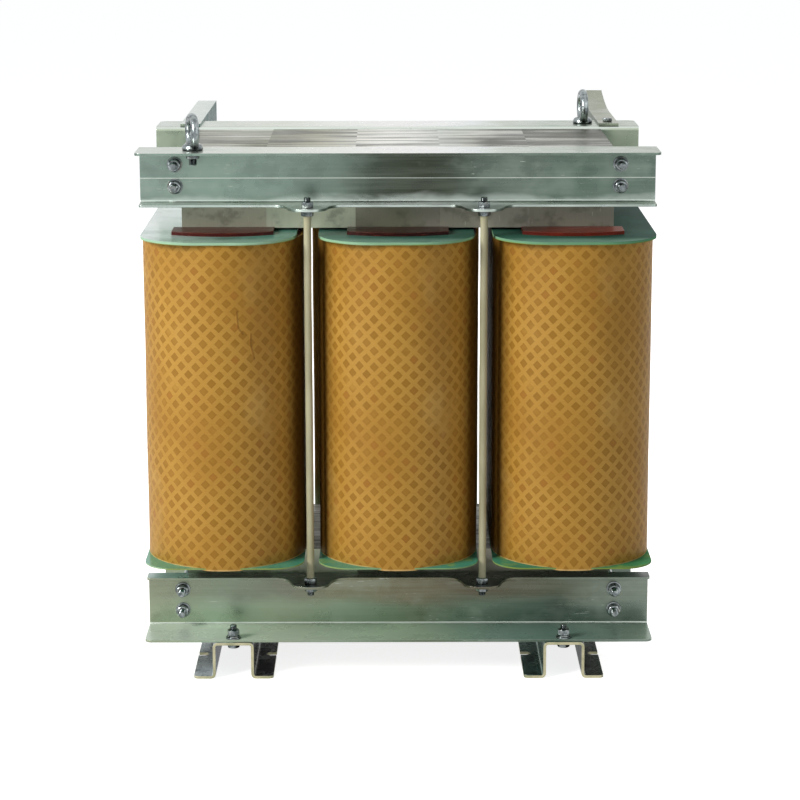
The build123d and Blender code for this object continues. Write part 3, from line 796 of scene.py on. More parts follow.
def turned_about_z(degrees: float) -> np.ndarray:
    """Rotation about Z: x' = x cos a - y sin a, y' = x sin a + y cos a."""
    c, s = math.cos(math.radians(degrees)), math.sin(math.radians(degrees))
    return np.array([[c, -s, 0.0], [s, c, 0.0], [0.0, 0.0, 1.0]])


UPRIGHT = np.eye(3)
TO_FRONT = np.array([[1.0, 0.0, 0.0], [0.0, 0.0, -1.0], [0.0, 1.0, 0.0]])
TO_REAR = np.array([[1.0, 0.0, 0.0], [0.0, 0.0, 1.0], [0.0, -1.0, 0.0]])


def steps_round(count: int) -> np.ndarray:
    """Angles of equal steps round a full turn, as one row."""
    return np.linspace(0.0, 2 * np.pi, count, endpoint=False)[None]


def wound(r: np.ndarray, angle: np.ndarray, z: np.ndarray) -> np.ndarray:
    """Points round Z: x = r cos a, y = r sin a, at the height z."""
    return np.stack(np.broadcast_arrays(r * np.cos(angle), r * np.sin(angle), z), -1)


def revolved(profile: list[tuple[float, float]], columns: int, close: bool = False) -> Surface:
    """Profile of (radius, height), bottom first, then outwards and up, turned about Z."""
    r, z = np.array(profile, float).T[:, :, None]
    return Surface(wound(r, steps_round(columns), z), close_rows=close)


def joined(surfaces: list[Surface]) -> tuple[np.ndarray, np.ndarray]:
    """Points and faces of several surfaces.

    Args:
        surfaces: grids in millimetres.

    Returns:
        All points in millimetres, and the vertex numbers of all faces.
    """
    starts = np.cumsum([0] + [s.points.size // 3 for s in surfaces])
    points = np.concatenate([s.points.reshape(-1, 3) for s in surfaces])
    return points, np.concatenate([s.quads() + start for s, start in zip(surfaces, starts)])


def hand_over(mesh: bpy.types.Mesh, name: str, finishes: Finishes, slot: str, stands_for: list[str],
              sharp: float) -> None:
    """Weld and smooth a mesh, give it its finish and let it ride on the frame at the origin.

    Args:
        mesh: mesh in metres.
        name: name of the piece.
        finishes: materials by name.
        slot: name of its material.
        stands_for: nodes that it replaces.
        sharp: edges steeper than this many degrees stay sharp.
    """
    work = bmesh.new()
    work.from_mesh(mesh)
    bmesh.ops.remove_doubles(work, verts=work.verts, dist=WELD)
    work.to_mesh(mesh)
    work.free()
    mesh.polygons.foreach_set("use_smooth", np.ones(len(mesh.polygons), bool))
    mesh.set_sharp_from_angle(angle=math.radians(sharp))
    mesh.materials.append(finishes[slot])
    piece = bpy.data.objects.new(name, mesh)
    bpy.context.scene.collection.objects.link(piece)
    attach(piece, "root")
    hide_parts(*stands_for)
    log.info("%s: %d faces, stands for %s", name, len(mesh.polygons), ", ".join(stands_for))


def make_piece(name: str, surfaces: list[Surface], finishes: Finishes, stands_for: str,
               slot: str = "zinc_fasteners", sharp: float = 32.0) -> None:
    """Write surfaces into one mesh, with their UV map and marks, and hand it over.

    Args:
        name: name of the piece.
        surfaces: grids in millimetres.
        finishes: materials by name.
        stands_for: node that it replaces.
        slot: name of its material.
        sharp: edges steeper than this many degrees stay sharp.
    """
    points, quads = joined(surfaces)
    mesh = bpy.data.meshes.new(name)
    mesh.from_pydata((points * MM).tolist(), [], quads.tolist())
    if all(s.uv is not None for s in surfaces):
        uv = np.concatenate([s.uv.reshape(-1, 2) for s in surfaces])
        mesh.uv_layers.new(name="UVMap").data.foreach_set("uv", uv[quads.ravel()].astype(np.float32).ravel())
    for mark in surfaces[0].marks:
        values = np.concatenate([s.marks[mark].ravel() for s in surfaces]).astype(np.float32)
        mesh.attributes.new(mark, "FLOAT", "POINT").data.foreach_set("value", values)
    hand_over(mesh, name, finishes, slot, [stands_for], sharp)


def dress(nodes: list[str], material: Material) -> None:
    """Give nodes of the frame a finish through their material slots.

    Args:
        nodes: names of the nodes.
        material: their finish.
    """
    for node in nodes:
        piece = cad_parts[node]
        if not piece.material_slots:
            piece.data.materials.append(material)
        for slot in piece.material_slots:
            slot.material = material
        log.info("%s: finished as %s", node, material.name)


# ---- windings ------------------------------------------------------------------------------
@dataclass
class Crease:
    """Short fold in a paper wrap, as a broken line of (X, Z) points on its front."""

    line: tuple[tuple[float, float], ...]
    width: float = 1.3

    def strength(self, s: np.ndarray, z: np.ndarray, ends: list[np.ndarray]) -> np.ndarray:
        """One in the middle of the fold, falling to nothing at its width: exp(-(d / width) squared).

        Args:
            s: lengths along the wrap.
            z: heights.
            ends: the line's points, as length along the wrap and height.

        Returns:
            The strength at every point of the grid.
        """
        mark = np.zeros(np.broadcast(s, z).shape)
        for a, b in zip(ends, ends[1:]):
            run = b - a
            t = np.clip(((s - a[0]) * run[0] + (z - a[1]) * run[1]) / (run @ run), 0, 1)
            d = np.hypot(s - a[0] - t * run[0], z - a[1] - t * run[1])
            mark = np.maximum(mark, np.exp(-(d / self.width) ** 2))
        return mark


@dataclass
class Winding:
    """One coil: paper wrap made anew, end plates and inner layers from the frame."""

    side: str
    center_x: float
    seed: int
    radius: float = 113.5
    half_depth: float = 131.0
    wall: float = 2.0
    bottom: float = 172.0
    top: float = 635.5
    steps: int = 331
    rises: int = 93
    wave: float = 0.09
    rise_over: float = 460.0
    lap: float = 0.15
    lap_s: float = 24.0
    droop: float = 3.5
    droop_width: float = 22.0
    droop_height: float = 14.0
    hem: float = 1.8
    hem_rows: tuple[float, ...] = (0.9, 1.8, 3.0)
    crease_height: float = 0.5
    crease_margin: float = 4.0
    crease_steps: tuple[float, float] = (0.7, 1.4)
    creases: tuple[Crease, ...] = ()

    def outline(self, s: np.ndarray, radius: float) -> tuple[np.ndarray, np.ndarray, np.ndarray, np.ndarray]:
        """Obround from the middle of its rear end, counter-clockwise.

        The angle of the outward direction and the Y of the arc's centre both grow in straight runs
        with the length s: a quarter turn, a straight side, a half turn, a straight side, a quarter turn.

        Args:
            s: length along the outline of the nominal radius, in millimetres.
            radius: radius at which the points are wanted.

        Returns:
            X and Y of the points, and X and Y of the outward direction.
        """
        quarter, side = math.pi * self.radius / 2, 2 * self.half_depth
        knots = np.cumsum([0.0, quarter, side, 2 * quarter, side, quarter])
        angle = np.radians(np.interp(s, knots, [90, 180, 180, 360, 360, 450]))
        middle = np.interp(s, knots, self.half_depth * np.array([1, 1, -1, -1, 1, 1]))
        nx, ny = np.cos(angle), np.sin(angle)
        return self.center_x + radius * nx, middle + radius * ny, nx, ny

    def length(self) -> float:
        """Length of the nominal outline."""
        return 4 * self.half_depth + 2 * math.pi * self.radius

    def on_front(self, x: float, z: float) -> np.ndarray:
        """Length along the outline at which the front of the wrap has this X, and the height."""
        angle = math.asin((x - self.center_x) / self.radius)
        return np.array([self.length() / 2 + self.radius * angle, z])

    def waves(self, s: np.ndarray, z: np.ndarray) -> np.ndarray:
        """How far the wrap stands off its nominal surface.

        A sum of six slow waves in length and height, and a step where the paper's end laps over
        itself at the rear, which fades out evenly over the length.

        Args:
            s: lengths along the outline.
            z: heights.

        Returns:
            The distance at every point of the grid.
        """
        chance = np.random.default_rng(self.seed)
        total = np.zeros(np.broadcast(s, z).shape)
        for _ in range(6):
            turns, rise = chance.integers(2, 11), chance.uniform(0.3, 2.2)
            phase = chance.uniform(0, 2 * np.pi)
            cycles = turns * s / self.length() + rise * (z - self.bottom) / self.rise_over
            total += self.wave * np.sin(2 * np.pi * cycles + phase)
        return total + self.lap * (1 / (1 + np.exp(-(s - self.lap_s) / 0.8)) - s / self.length())

    def sag(self, s: np.ndarray, z: np.ndarray) -> np.ndarray:
        """Skin that hangs over the plate: half a cosine to either side, the square of the height left."""
        aside = np.clip((np.abs(s - self.length() / 2) - self.droop_width) / self.droop_width, 0, 1)
        return self.droop * (0.5 + 0.5 * np.cos(np.pi * aside)) * self.near_hem(z, self.droop_height) ** 2

    def near_hem(self, z: np.ndarray, height: float) -> np.ndarray:
        """One at the lower hem, straight down to nothing at a height above it."""
        return np.clip(1 - (z - self.bottom) / height, 0, 1)

    def paper(self) -> Surface:
        """Closed shell: up the outside, over the rim and down the inside, for every step round.

        Returns:
            The wrap, with its UV map in metres and the marks of its creases and its hem.
        """
        steps = [np.linspace(0, self.length(), self.steps)]
        rises = [np.linspace(self.bottom, self.top, self.rises), self.bottom + np.array(self.hem_rows)]
        lines = [[self.on_front(x, z) for x, z in crease.line] for crease in self.creases]
        for line in lines:
            low, high = np.min(line, 0) - self.crease_margin, np.max(line, 0) + self.crease_margin
            for rows, start, stop, step in zip((steps, rises), low, high, self.crease_steps):
                rows.append(np.arange(start, stop, step))
        s = np.unique(np.concatenate(steps).round(2))
        s[-1] = self.length()
        s, z = np.meshgrid(s, np.unique(np.concatenate(rises).round(2)))
        folds = [fold.strength(s, z, line) for fold, line in zip(self.creases, lines)]
        mark = reduce(np.maximum, folds, 0.0 * s)
        off = self.waves(s, z) + self.crease_height * mark
        off[:, -1] = off[:, 0]
        x, y, nx, ny = self.outline(s, self.radius)
        outside = np.stack([x + off * nx, y + off * ny, z - self.sag(s, z)], -1)
        x, y, _, _ = self.outline(s[[-1, 0]], self.radius - self.wall)
        inside = np.stack([x, y, z[[-1, 0]]], -1)
        uv = np.stack([s, z], -1) * MM
        none = np.zeros_like(s[:2])
        marks = {"crease": np.concatenate([mark, none]),
                 "hem": np.concatenate([self.near_hem(z, self.hem), none])}
        return Surface(np.concatenate([outside, inside]), close_rows=True, close_columns=False,
                       uv=np.concatenate([uv, uv[[-1, 0]]]), marks=marks)

    def build(self, finishes: Finishes) -> None:
        """Make the wrap and finish the coil's other layers.

        Args:
            finishes: materials by name.
        """
        make_piece(f"paper_{self.side}", [self.paper()], finishes, f"paper_wrap_{self.side}", "dotted_paper")
        for node, finish in (("winding_former", "former_wood"), ("low_voltage_winding", "copper"),
                             ("duct_barrier", "barrier_board"), ("high_voltage_winding", "copper"),
                             ("bottom_end_plate", "glass_laminate"), ("top_end_plate", "glass_laminate")):
            dress([f"{node}_{self.side}"], finishes[finish])


# ---- fasteners -----------------------------------------------------------------------------
THREAD_DEPTH = 0.6      # share of the pitch
ROD_CONE = 0.9          # how far a rod's end is turned in, in millimetres
BORE_CORE = 0.45        # how far a nut's hole lies inside the thread's outer radius
BORE_SINK = 0.7         # how far a nut's hole is countersunk
HEX_CONE = 0.468        # radius of a nut's face, as a share of its width


@dataclass(frozen=True)
class Thread:
    """Metric size: diameter, pitch, nut width and height, washer and spring washer, head height."""

    d: float
    pitch: float
    across: float
    nut: float
    washer_d: float = 0.0
    washer_t: float = 0.0
    spring_d: float = 0.0
    spring_t: float = 0.0
    head: float = 0.0

    def stud(self, low: float, high: float, threaded: list[tuple[float, float]],
             columns: int = 24) -> Surface:
        """Rod along Z whose thread is cut only where asked.

        The radius is d / 2 less the thread depth times half of one minus the cosine of
        (2 pi z / pitch - angle), and never more than a cone of 45 degrees at either end.

        Args:
            low: lower end.
            high: upper end.
            threaded: (from, to) heights with a thread.
            columns: number of steps round.

        Returns:
            Closed rod.
        """
        rows = [np.array([low, high])] + [np.arange(start, stop, self.pitch / 6) for start, stop in threaded]
        z = np.unique(np.concatenate(rows).round(3))
        z = z[(z >= low) & (z <= high)][:, None]
        cut = np.zeros_like(z)
        for start, stop in threaded:
            cut = np.maximum(cut, np.clip(np.minimum(z - start, stop - z) / self.pitch + 0.5, 0, 1))
        angle = steps_round(columns)
        depth = THREAD_DEPTH * self.pitch * cut
        r = self.d / 2 - depth * (0.5 - 0.5 * np.cos(2 * np.pi * z / self.pitch - angle))
        r = np.minimum(r, self.d / 2 - ROD_CONE + np.minimum(z - low, high - z))
        cap = np.zeros((1, columns, 3))
        return Surface(np.concatenate([cap + [0, 0, low], wound(r, angle, z), cap + [0, 0, high]]))

    def hexagon(self, height: float, bored: bool, columns: int = 48) -> Surface:
        """Hexagon nut or head with its corners turned off.

        The radius is the smaller of the hexagon, half the width over the cosine of the angle from
        the middle of a flat, and a cone of 30 degrees that starts inside the flats at each end.

        Args:
            height: height along Z.
            bored: leave a hole of the thread's core.
            columns: number of steps round.

        Returns:
            Closed solid that stands on z = 0.
        """
        drop = np.array([0.0, 0.12, 0.26, 0.42, 0.62, 0.9])
        z = np.concatenate([drop, height - drop[::-1]])[:, None]
        angle = steps_round(columns)
        flats = self.across / 2 / np.cos(np.mod(angle, np.pi / 3) - np.pi / 6)
        cone = HEX_CONE * self.across + np.minimum(z, height - z) * math.tan(math.radians(60))
        body = wound(np.minimum(flats, cone), angle, z)
        if not bored:
            return Surface(np.concatenate([wound(0.0, angle, 0.0), body, wound(0.0, angle, height)]))
        core, sink = self.d / 2 - BORE_CORE, BORE_SINK
        rings = [wound(core + sink, angle, 0.0), body, wound(core + sink, angle, height),
                 wound(core, angle, height - sink), wound(core, angle, sink)]
        return Surface(np.concatenate(rings), close_rows=True)

    def washer(self) -> Surface:
        """Punched ring with rounded outer edges.

        Returns:
            Closed ring that stands on z = 0.
        """
        r, t, hole = self.washer_d / 2, self.washer_t, self.d / 2 + 0.1
        return revolved([(hole, 0.1), (hole + 0.2, 0), (r - 0.5, 0), (r - 0.15, 0.15), (r, 0.5),
                         (r, t - 0.5), (r - 0.15, t - 0.15), (r - 0.5, t), (hole + 0.3, t),
                         (hole, t - 0.3)], 48, close=True)

    def spring(self) -> Surface:
        """Split ring: a rounded square section carried round from one side of the split to the other.

        The height gains a fifth of a millimetre from end to end, and each end closes on its middle.

        Returns:
            Closed ring that stands on z = 0.
        """
        low, high, t = self.d / 2 + 0.1, self.spring_d / 2, self.spring_t - 0.2
        section = np.array([(low, 0.3), (low + 0.3, 0), (high - 0.3, 0), (high, 0.3), (high, t - 0.3),
                            (high - 0.3, t), (low + 0.3, t), (low, t - 0.3)])
        split = 0.7 / high
        angle = np.linspace(split, 2 * np.pi - split, 40)
        angle = np.concatenate([angle[:1], angle, angle[-1:]])
        size = np.ones(42)
        size[[0, -1]] = 0
        middle = section.mean(0)
        r = middle[0] + (section[:, :1] - middle[0]) * size
        z = middle[1] + (section[:, 1:] - middle[1]) * size + 0.2 * angle / (2 * np.pi)
        return Surface(wound(r, angle, z), close_rows=True, close_columns=False)


M10 = Thread(10.0, 1.5, 16.0, 8.4, 22.0, 2.0, 18.1, 2.5, 6.4)
M12 = Thread(12.0, 1.75, 18.0, 6.0, 24.0, 2.5)
M8 = Thread(8.0, 1.25, 13.0, 6.8, head=5.3)
SHEET = 3.5             # thickness of the clamps, in millimetres
CLAMP_TOP = 759.0       # top of the upper clamps


def spread(shape: Surface, places: list[Place], turn: np.ndarray = UPRIGHT, seed: int = 5) -> list[Surface]:
    """Copies at many places, each spun a little about its own axis as a fitter leaves them."""
    chance = np.random.default_rng(seed)
    return [shape.placed(turn @ turned_about_z(chance.uniform(0, 360)), place) for place in places]


@dataclass
class TieRods:
    """Four rods between the tongues, with sleeves and a nut above and below each tongue."""

    x: tuple[float, float] = (-126.5, 120.5)
    y: float = 193.0
    lower_tongue: float = 132.5
    upper_tongue: float = 677.0
    rod_end: float = 6.0
    threaded: float = 30.0
    sleeve_d: float = 11.2
    sleeve_bore: float = 10.2
    flare: float = 0.35
    sway: float = 0.35
    rows: int = 90
    columns: int = 25

    def places(self, z: float) -> list[Place]:
        """The four rods' axes at one height."""
        return [(x, side * self.y, z) for x in self.x for side in (-1, 1)]

    def sleeve(self, seed: int) -> Surface:
        """Tube that sways a little: x and y gain slow sines of the height, and its ends flare.

        Args:
            seed: start of its random draws, and how far its sway has turned.

        Returns:
            Closed tube with its UV map in metres.
        """
        chance = np.random.default_rng(seed)
        low, high = self.lower_tongue + SHEET + M10.nut, self.upper_tongue - M10.nut
        z = np.linspace(low, high, self.rows)[:, None]
        angle = np.linspace(0, 2 * np.pi, self.columns)
        flare = self.flare * np.exp(-np.minimum(z - low, high - z) / 3)
        r = self.sleeve_d / 2 - 0.25 + flare + 0.1 * np.sin(z / 17 + chance.uniform(0, 6))
        share = (z - low) / (high - low)
        sway = self.sway * np.sin(np.pi * share)
        outside = wound(r, angle, z)
        outside[..., 0] += sway * np.sin(5 * share + seed)
        outside[..., 1] += sway * np.cos(4 * share + seed)
        inside = wound(self.sleeve_bore / 2, angle, np.array([high, low])[:, None])
        points = np.concatenate([outside, inside])
        uv = np.stack(np.broadcast_arrays(angle * self.sleeve_d / 2, points[:, :1, 2]), -1) * MM
        return Surface(points, close_rows=True, close_columns=False, uv=uv)

    def build(self, finishes: Finishes) -> None:
        """Make rods, nuts and sleeves.

        Args:
            finishes: materials by name.
        """
        low = self.lower_tongue - M10.nut - self.rod_end
        high = self.upper_tongue + SHEET + M10.nut + self.rod_end
        rod = M10.stud(low, high, [(low, low + self.threaded), (high - self.threaded, high)])
        make_piece("rods", spread(rod, self.places(0.0)), finishes, "tie_rods")
        levels = (self.lower_tongue - M10.nut, self.lower_tongue + SHEET,
                  self.upper_tongue - M10.nut, self.upper_tongue + SHEET)
        places = [place for z in levels for place in self.places(z)]
        make_piece("rod_nuts", spread(M10.hexagon(M10.nut, True), places), finishes, "tie_rod_nuts")
        sleeves = [self.sleeve(n).placed(UPRIGHT, place) for n, place in enumerate(self.places(0.0))]
        make_piece("sleeves", sleeves, finishes, "tie_rod_sleeves", "sleeve", 50)


@dataclass
class ClampStuds:
    """Eight studs through both clamps, with washer, spring washer and nut at either end."""

    x: float = 315.5
    heights: tuple[float, ...] = (79.0, 110.0, 703.0, 734.0)
    face: float = 134.5
    end: float = 14.0
    threaded: float = 30.0

    def places(self, y: float) -> list[Place]:
        """The eight studs' axes at one distance to the rear."""
        return [(side * self.x, y, z) for side in (-1, 1) for z in self.heights]

    def both(self, shape: Surface, lift: float, seed: int) -> list[Surface]:
        """Copies of one part, lifted off the web, at both ends of every stud."""
        return (spread(shape, self.places(-self.face - lift), TO_FRONT, seed)
                + spread(shape, self.places(self.face + lift), TO_REAR, seed + 1))

    def build(self, finishes: Finishes) -> None:
        """Make studs, washers, spring washers and nuts.

        Args:
            finishes: materials by name.
        """
        stack = M10.washer_t + M10.spring_t
        reach = self.face + stack + M10.nut + self.end
        stud = M10.stud(-reach, reach, [(-reach, self.threaded - reach), (reach - self.threaded, reach)])
        make_piece("studs", spread(stud, self.places(0.0), TO_REAR, 3), finishes, "clamp_studs")
        make_piece("stud_washers", self.both(M10.washer(), 0, 11), finishes, "clamp_washers")
        springs = self.both(M10.spring(), M10.washer_t, 21)
        make_piece("stud_springs", springs, finishes, "clamp_spring_washers")
        make_piece("stud_nuts", self.both(M10.hexagon(M10.nut, True), stack, 31), finishes, "clamp_nuts")


@dataclass
class FootBolts:
    """Four bolts that hold the feet to the lower clamps, heads inside the feet."""

    x: float = 238.0
    y: float = 204.0
    foot_top: float = 54.0
    foot_wall: float = 4.0
    end: float = 7.0
    threaded: float = 24.0

    def build(self, finishes: Finishes) -> None:
        """Make bolts, washers, spring washers and nuts.

        Args:
            finishes: materials by name.
        """
        head_z = self.foot_top - self.foot_wall - M10.head
        washer_z = self.foot_top + SHEET
        spring_z = washer_z + M10.washer_t
        nut_z = spring_z + M10.spring_t
        length = nut_z + M10.nut + self.end - head_z
        stud = M10.stud(0.5, length, [(length - self.threaded, length)])
        for name, node, shapes, z, seed in (
                ("set", "bolts", [M10.hexagon(M10.head, False), stud], head_z, 41),
                ("washers", "washers", [M10.washer()], washer_z, 5),
                ("springs", "spring_washers", [M10.spring()], spring_z, 43),
                ("nuts", "nuts", [M10.hexagon(M10.nut, True)], nut_z, 44)):
            places = [(a * self.x, b * self.y, z) for a in (-1, 1) for b in (-1, 1)]
            pieces = [s for shape in shapes for s in spread(shape, places, seed=seed)]
            make_piece(f"foot_bolt_{name}", pieces, finishes, f"foot_{node}")


@dataclass
class EyeBolt:
    """Forged lifting eye: ring, neck and collar flow into each other, threaded end below."""

    name: str
    x: float
    y: float
    turn: float = 16.0
    ring_d: float = 54.0
    bar_d: float = 12.0
    height: float = 52.0
    collar_d: float = 30.0
    collar_h: float = 9.0
    stud_end: float = 9.0
    grain: float = 0.9
    relaxed: int = 14

    def rough(self) -> bpy.types.Mesh:
        """Ring in the YZ plane and collar, still running through each other.

        The ring is a torus: the distance from its axis is R + r cos b, and r sin b to the side.

        Returns:
            Mesh in millimetres that stands on z = 0.
        """
        bar, edge, top = self.bar_d / 2, self.collar_d / 2, self.collar_h
        a, b = steps_round(96), -steps_round(32).T
        reach = self.ring_d / 2 - bar + bar * np.cos(b)
        centre = self.height - self.ring_d / 2
        rise = centre + reach * np.sin(a)
        ring = np.stack(np.broadcast_arrays(bar * np.sin(b), reach * np.cos(a), rise), -1)
        collar = revolved([(0, 0), (edge - 0.6, 0), (edge, 0.7), (edge - 0.3, 3.6), (edge - 1.6, top - 2),
                           (edge - 4.0, top), (0, top)], 64)
        points, quads = joined([Surface(ring, close_rows=True), collar])
        points[:, 2] = np.maximum(points[:, 2], 0.0)
        mesh = bpy.data.meshes.new("forging")
        mesh.from_pydata(points.tolist(), [], quads.tolist())
        return mesh

    def forging(self) -> tuple[np.ndarray, list[tuple[int, ...]]]:
        """Ring and collar melted into one skin and relaxed, flat underneath.

        Returns:
            Points in millimetres, and the vertex numbers of the faces.
        """
        block = bpy.data.objects.new("forging", self.rough())
        bpy.context.scene.collection.objects.link(block)
        join = block.modifiers.new("join", "REMESH")
        join.mode, join.voxel_size, join.use_smooth_shade = "VOXEL", self.grain, True
        relax = block.modifiers.new("relax", "SMOOTH")
        relax.factor, relax.iterations = 0.5, self.relaxed
        bpy.context.view_layer.update()
        skin = bpy.data.meshes.new_from_object(block.evaluated_get(bpy.context.evaluated_depsgraph_get()))
        bpy.data.objects.remove(block)
        points = np.zeros(len(skin.vertices) * 3, np.float32)
        skin.vertices.foreach_get("co", points)
        points = points.reshape(-1, 3).astype(float)
        points[:, 2] = np.maximum(points[:, 2], 0.0)
        return points, [tuple(face.vertices) for face in skin.polygons]

    def build(self, finishes: Finishes) -> None:
        """Make the eye bolt with its forged body and its thread.

        Args:
            finishes: materials by name.
        """
        low = -SHEET - M12.washer_t - M12.nut - self.stud_end
        shank = M12.stud(low, 2.0, [(low, -1.0)])
        points, faces = self.forging()
        faces += (shank.quads() + len(points)).tolist()
        points = np.concatenate([points, shank.points.reshape(-1, 3)])
        points = (points @ turned_about_z(self.turn).T + [self.x, self.y, CLAMP_TOP]) * MM
        mesh = bpy.data.meshes.new(f"{self.name}_eye")
        mesh.from_pydata(points.tolist(), [], faces)
        hand_over(mesh, f"{self.name}_eye", finishes, "zinc_fasteners", [f"{self.name}_eye_bolt"], 50)


@dataclass
class LiftingEyes:
    """Both eye bolts with their washers and nuts under the flanges."""

    eyes: tuple[EyeBolt, ...] = (EyeBolt("front", -286.5, -174.0), EyeBolt("rear", 282.8, 174.0, 4.0))

    def build(self, finishes: Finishes) -> None:
        """Make the eyes, then washers and nuts below the flange.

        Args:
            finishes: materials by name.
        """
        for eye in self.eyes:
            eye.build(finishes)
        under = CLAMP_TOP - SHEET - M12.washer_t
        washers = [(eye.x, eye.y, under) for eye in self.eyes]
        nuts = [(eye.x, eye.y, under - M12.nut) for eye in self.eyes]
        make_piece("eye_washers", spread(M12.washer(), washers), finishes, "eye_bolt_washers")
        make_piece("eye_nuts", spread(M12.hexagon(M12.nut, True), nuts, seed=52), finishes, "eye_bolt_nuts")


@dataclass
class RearArms:
    """Two angle arms on the rear clamp, each held by one bolt."""

    bolts: tuple[tuple[float, float], ...] = ((-313.5, 162.0), (319.8, 162.0))
    arm_t: float = 4.0
    threaded: float = 16.0

    def build(self, finishes: Finishes) -> None:
        """Finish the arms, then make their bolts and nuts.

        Args:
            finishes: materials by name.
        """
        dress(["left_arm", "right_arm"], finishes["galvanised_arms"])
        end = -SHEET - M8.nut - 3
        shapes = [M8.hexagon(M8.head, False).placed(UPRIGHT, (0, 0, self.arm_t)),
                  M8.stud(end, self.arm_t + 0.5, [(end, end + self.threaded)])]
        places = [(x, y, CLAMP_TOP) for x, y in self.bolts]
        bolts = [s for shape in shapes for s in spread(shape, places, seed=61)]
        make_piece("arm_bolt_set", bolts, finishes, "arm_bolts")
        nuts = [(x, y, CLAMP_TOP - SHEET - M8.nut) for x, y in self.bolts]
        make_piece("arm_nut_set", spread(M8.hexagon(M8.nut, True), nuts, seed=62), finishes, "arm_nuts")


# ---- frame ---------------------------------------------------------------------------------
@dataclass
class Structure:
    """Core, clamps, packing segments and feet, whose solids stay."""

    levels: tuple[str, ...] = ("lower", "upper")
    sides: tuple[str, ...] = ("left", "center", "right")

    def build(self, finishes: Finishes) -> None:
        """Finish every solid that stays.

        Args:
            finishes: materials by name.
        """
        dress([f"core_limb_{side}" for side in self.sides], finishes["core_limb"])
        dress([f"{level}_yoke_{side}" for level in self.levels for side in ("left", "right")],
              finishes["core_yoke"])
        dress([f"{level}_{end}_clamp" for level in self.levels for end in ("front", "rear")],
              finishes["galvanised_sheet"])
        dress(["packing_segments"], finishes["phenolic"])
        dress(["left_foot", "right_foot"], finishes["foot_zinc"])


# ---- studio --------------------------------------------------------------------------------
@dataclass(frozen=True)
class Lamp:
    """Soft square lamp: name, place and side in metres, power in watts, whether metal mirrors it."""

    name: str
    place: Place
    side: float
    power: float
    mirrored: bool = True

    def build(self, target: Place) -> None:
        """Hang the lamp.

        Args:
            target: point that it faces.
        """
        light = bpy.data.lights.new(self.name, "AREA")
        light.energy, light.size, light.color = self.power, self.side, (1.0, 0.985, 0.96)
        holder = bpy.data.objects.new(self.name, light)
        bpy.context.scene.collection.objects.link(holder)
        holder.location = self.place
        holder.visible_glossy = self.mirrored
        aim = np.array(target) - np.array(self.place)
        tilt = math.atan2(math.hypot(aim[0], aim[1]), -aim[2])
        holder.rotation_euler = (tilt, 0.0, math.atan2(-aim[0], aim[1]))


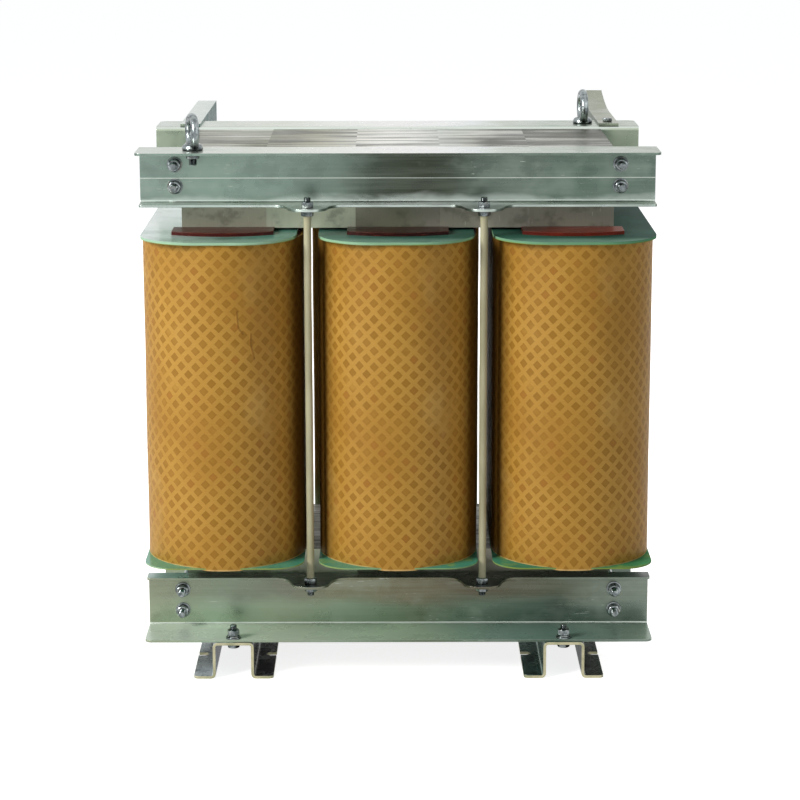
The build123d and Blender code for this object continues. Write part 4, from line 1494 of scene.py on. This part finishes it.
@dataclass
class Studio:
    """White floor and world, soft lamps and the camera."""

    lamps: tuple[Lamp, ...] = (Lamp("key", (-3.3, -2.3, 2.4), 1.6, 180.0),
                               Lamp("fill", (2.8, -2.4, 1.6), 2.2, 16.0),
                               Lamp("back", (0.8, 3.2, 2.6), 2.0, 110.0, mirrored=False))
    target: Place = (0.0, 0.0, 0.4)
    floor_side: float = 60.0
    floor_paint: str = "#E6E6E6"
    floor_seen: float = 0.82
    floor_mirrored: float = 0.3
    world_light: float = 0.23
    location: Place = (-0.0047, -3.764, 1.1744)
    pitch_down: float = 12.15
    yaw_right: float = 0.134
    roll: float = 0.08
    lens: float = 115.9

    def floor(self) -> None:
        """Pale floor that takes the shadow; seen by the camera it is lifted to white."""
        half = self.floor_side / 2
        mesh = bpy.data.meshes.new("floor")
        mesh.from_pydata([(-half, -half, 0), (half, -half, 0), (half, half, 0), (-half, half, 0)],
                         [], [(0, 1, 2, 3)])
        floor = bpy.data.objects.new("floor", mesh)
        bpy.context.scene.collection.objects.link(floor)
        material = bpy.data.materials.new("floor_paint")
        material.use_nodes = True
        material.node_tree.nodes.clear()
        add = partial(add_node, material.node_tree)
        rays = add("LightPath").outputs
        seen = add("Math", Mode.MOST, (rays["Is Camera Ray"], rays["Is Transmission Ray"]))
        strength = add("Math", Mode.MOST, (
            add("Math", Mode.TIMES, (seen, self.floor_seen)),
            add("Math", Mode.TIMES, (rays["Is Glossy Ray"], self.floor_mirrored))))
        paint = add("BsdfDiffuse", None, (self.floor_paint,))
        lift = add("Emission", None, ("#FFFFFF", strength))
        add("OutputMaterial", None, (add("AddShader", None, (paint, lift)),))
        mesh.materials.append(material)

    def world(self) -> None:
        """White where it is seen, in gloss and through glass, and a soft grey light elsewhere."""
        world = bpy.data.worlds.new("studio")
        bpy.context.scene.world = world
        world.use_nodes = True
        world.node_tree.nodes.clear()
        add = partial(add_node, world.node_tree)
        rays = add("LightPath").outputs
        seen = add("Math", Mode.MOST, (rays["Is Camera Ray"], rays["Is Glossy Ray"]))
        seen = add("Math", Mode.MOST, (seen, rays["Is Transmission Ray"]))
        dim = add("Background", None, ("#F4FAFF", self.world_light))
        white = add("Background", None, ("#FFFFFF", 1.0))
        add("OutputWorld", None, (add("MixShader", None, (seen, dim, white)),))

    def camera(self) -> None:
        """Long lens, in front and a little above."""
        data = bpy.data.cameras.new("camera")
        data.lens, data.sensor_width, data.clip_end = self.lens, 36.0, 100.0
        holder = bpy.data.objects.new("camera", data)
        bpy.context.scene.collection.objects.link(holder)
        holder.location = self.location
        holder.rotation_euler = (math.radians(90 - self.pitch_down), math.radians(self.roll),
                                 math.radians(-self.yaw_right))
        bpy.context.scene.camera = holder

    def build(self) -> None:
        """Set up floor, world, lamps and camera."""
        self.floor()
        self.world()
        for lamp in self.lamps:
            lamp.build(self.target)
        self.camera()
        bpy.context.scene.view_settings.view_transform = "Standard"


def make_finishes() -> Finishes:
    """Make every material.

    Returns:
        The materials by name.
    """
    # The arms' tones are painted light and shade: the up-facing legs light, the hanging legs and the right
    # arm darker.
    arms = GalvanisedSheet(
        "galvanised_arms", high=((-330, "#4E736D"), (-290, "#567C76"), (290, "#6C7565"), (330, "#747D6D")),
        top=((-330, "#C9D1CC"), (-290, "#C0C9C4"), (290, "#7B806A"), (330, "#868C76")), crease_z=0.0)
    # Core faces: tones along X are painted light and shade, lighter to the left.
    limbs = LaminatedCore("core_limb", (
        (-320, "#A6A894"), (-180, "#B5B69F"), (-60, "#8F8E7B"), (0, "#7D7F69"), (60, "#8F8C7F"),
        (200, "#918F7F"), (320, "#85867A")), 0.0)
    yokes = LaminatedCore("core_yoke", (
        (-320, "#A6A894"), (-185, "#C6CDB5"), (-60, "#CED4BA"), (60, "#9C998A"), (185, "#A39F92"),
        (320, "#85867A")), 0.37)
    return {finish.name: finish.material() for finish in (
        GalvanisedSheet(), arms, FootZinc(), limbs, yokes, DottedPaper(), GlassLaminate(), Phenolic(),
        WovenSleeve(), BrightZinc(), EnamelledCopper(), FormerWood(), BarrierBoard())}


def main() -> None:
    """Build the studio and every piece in order."""
    logging.basicConfig(level=logging.INFO, format="%(name)s: %(message)s")
    Studio().build()
    finishes = make_finishes()
    Structure().build(finishes)
    folds = (Crease(((-224.6, 542.0), (-222.9, 519.0), (-216.9, 510.0))),
             Crease(((-205.5, 509.0), (-206.2, 495.0), (-201.3, 474.0))))
    for winding in (Winding("left", -249.0, 1, creases=folds), Winding("center", 0.0, 2),
                    Winding("right", 249.0, 3)):
        winding.build(finishes)
    for fasteners in (TieRods(), ClampStuds(), FootBolts(), LiftingEyes(), RearArms()):
        fasteners.build(finishes)


if __name__ == "__main__":
    main()
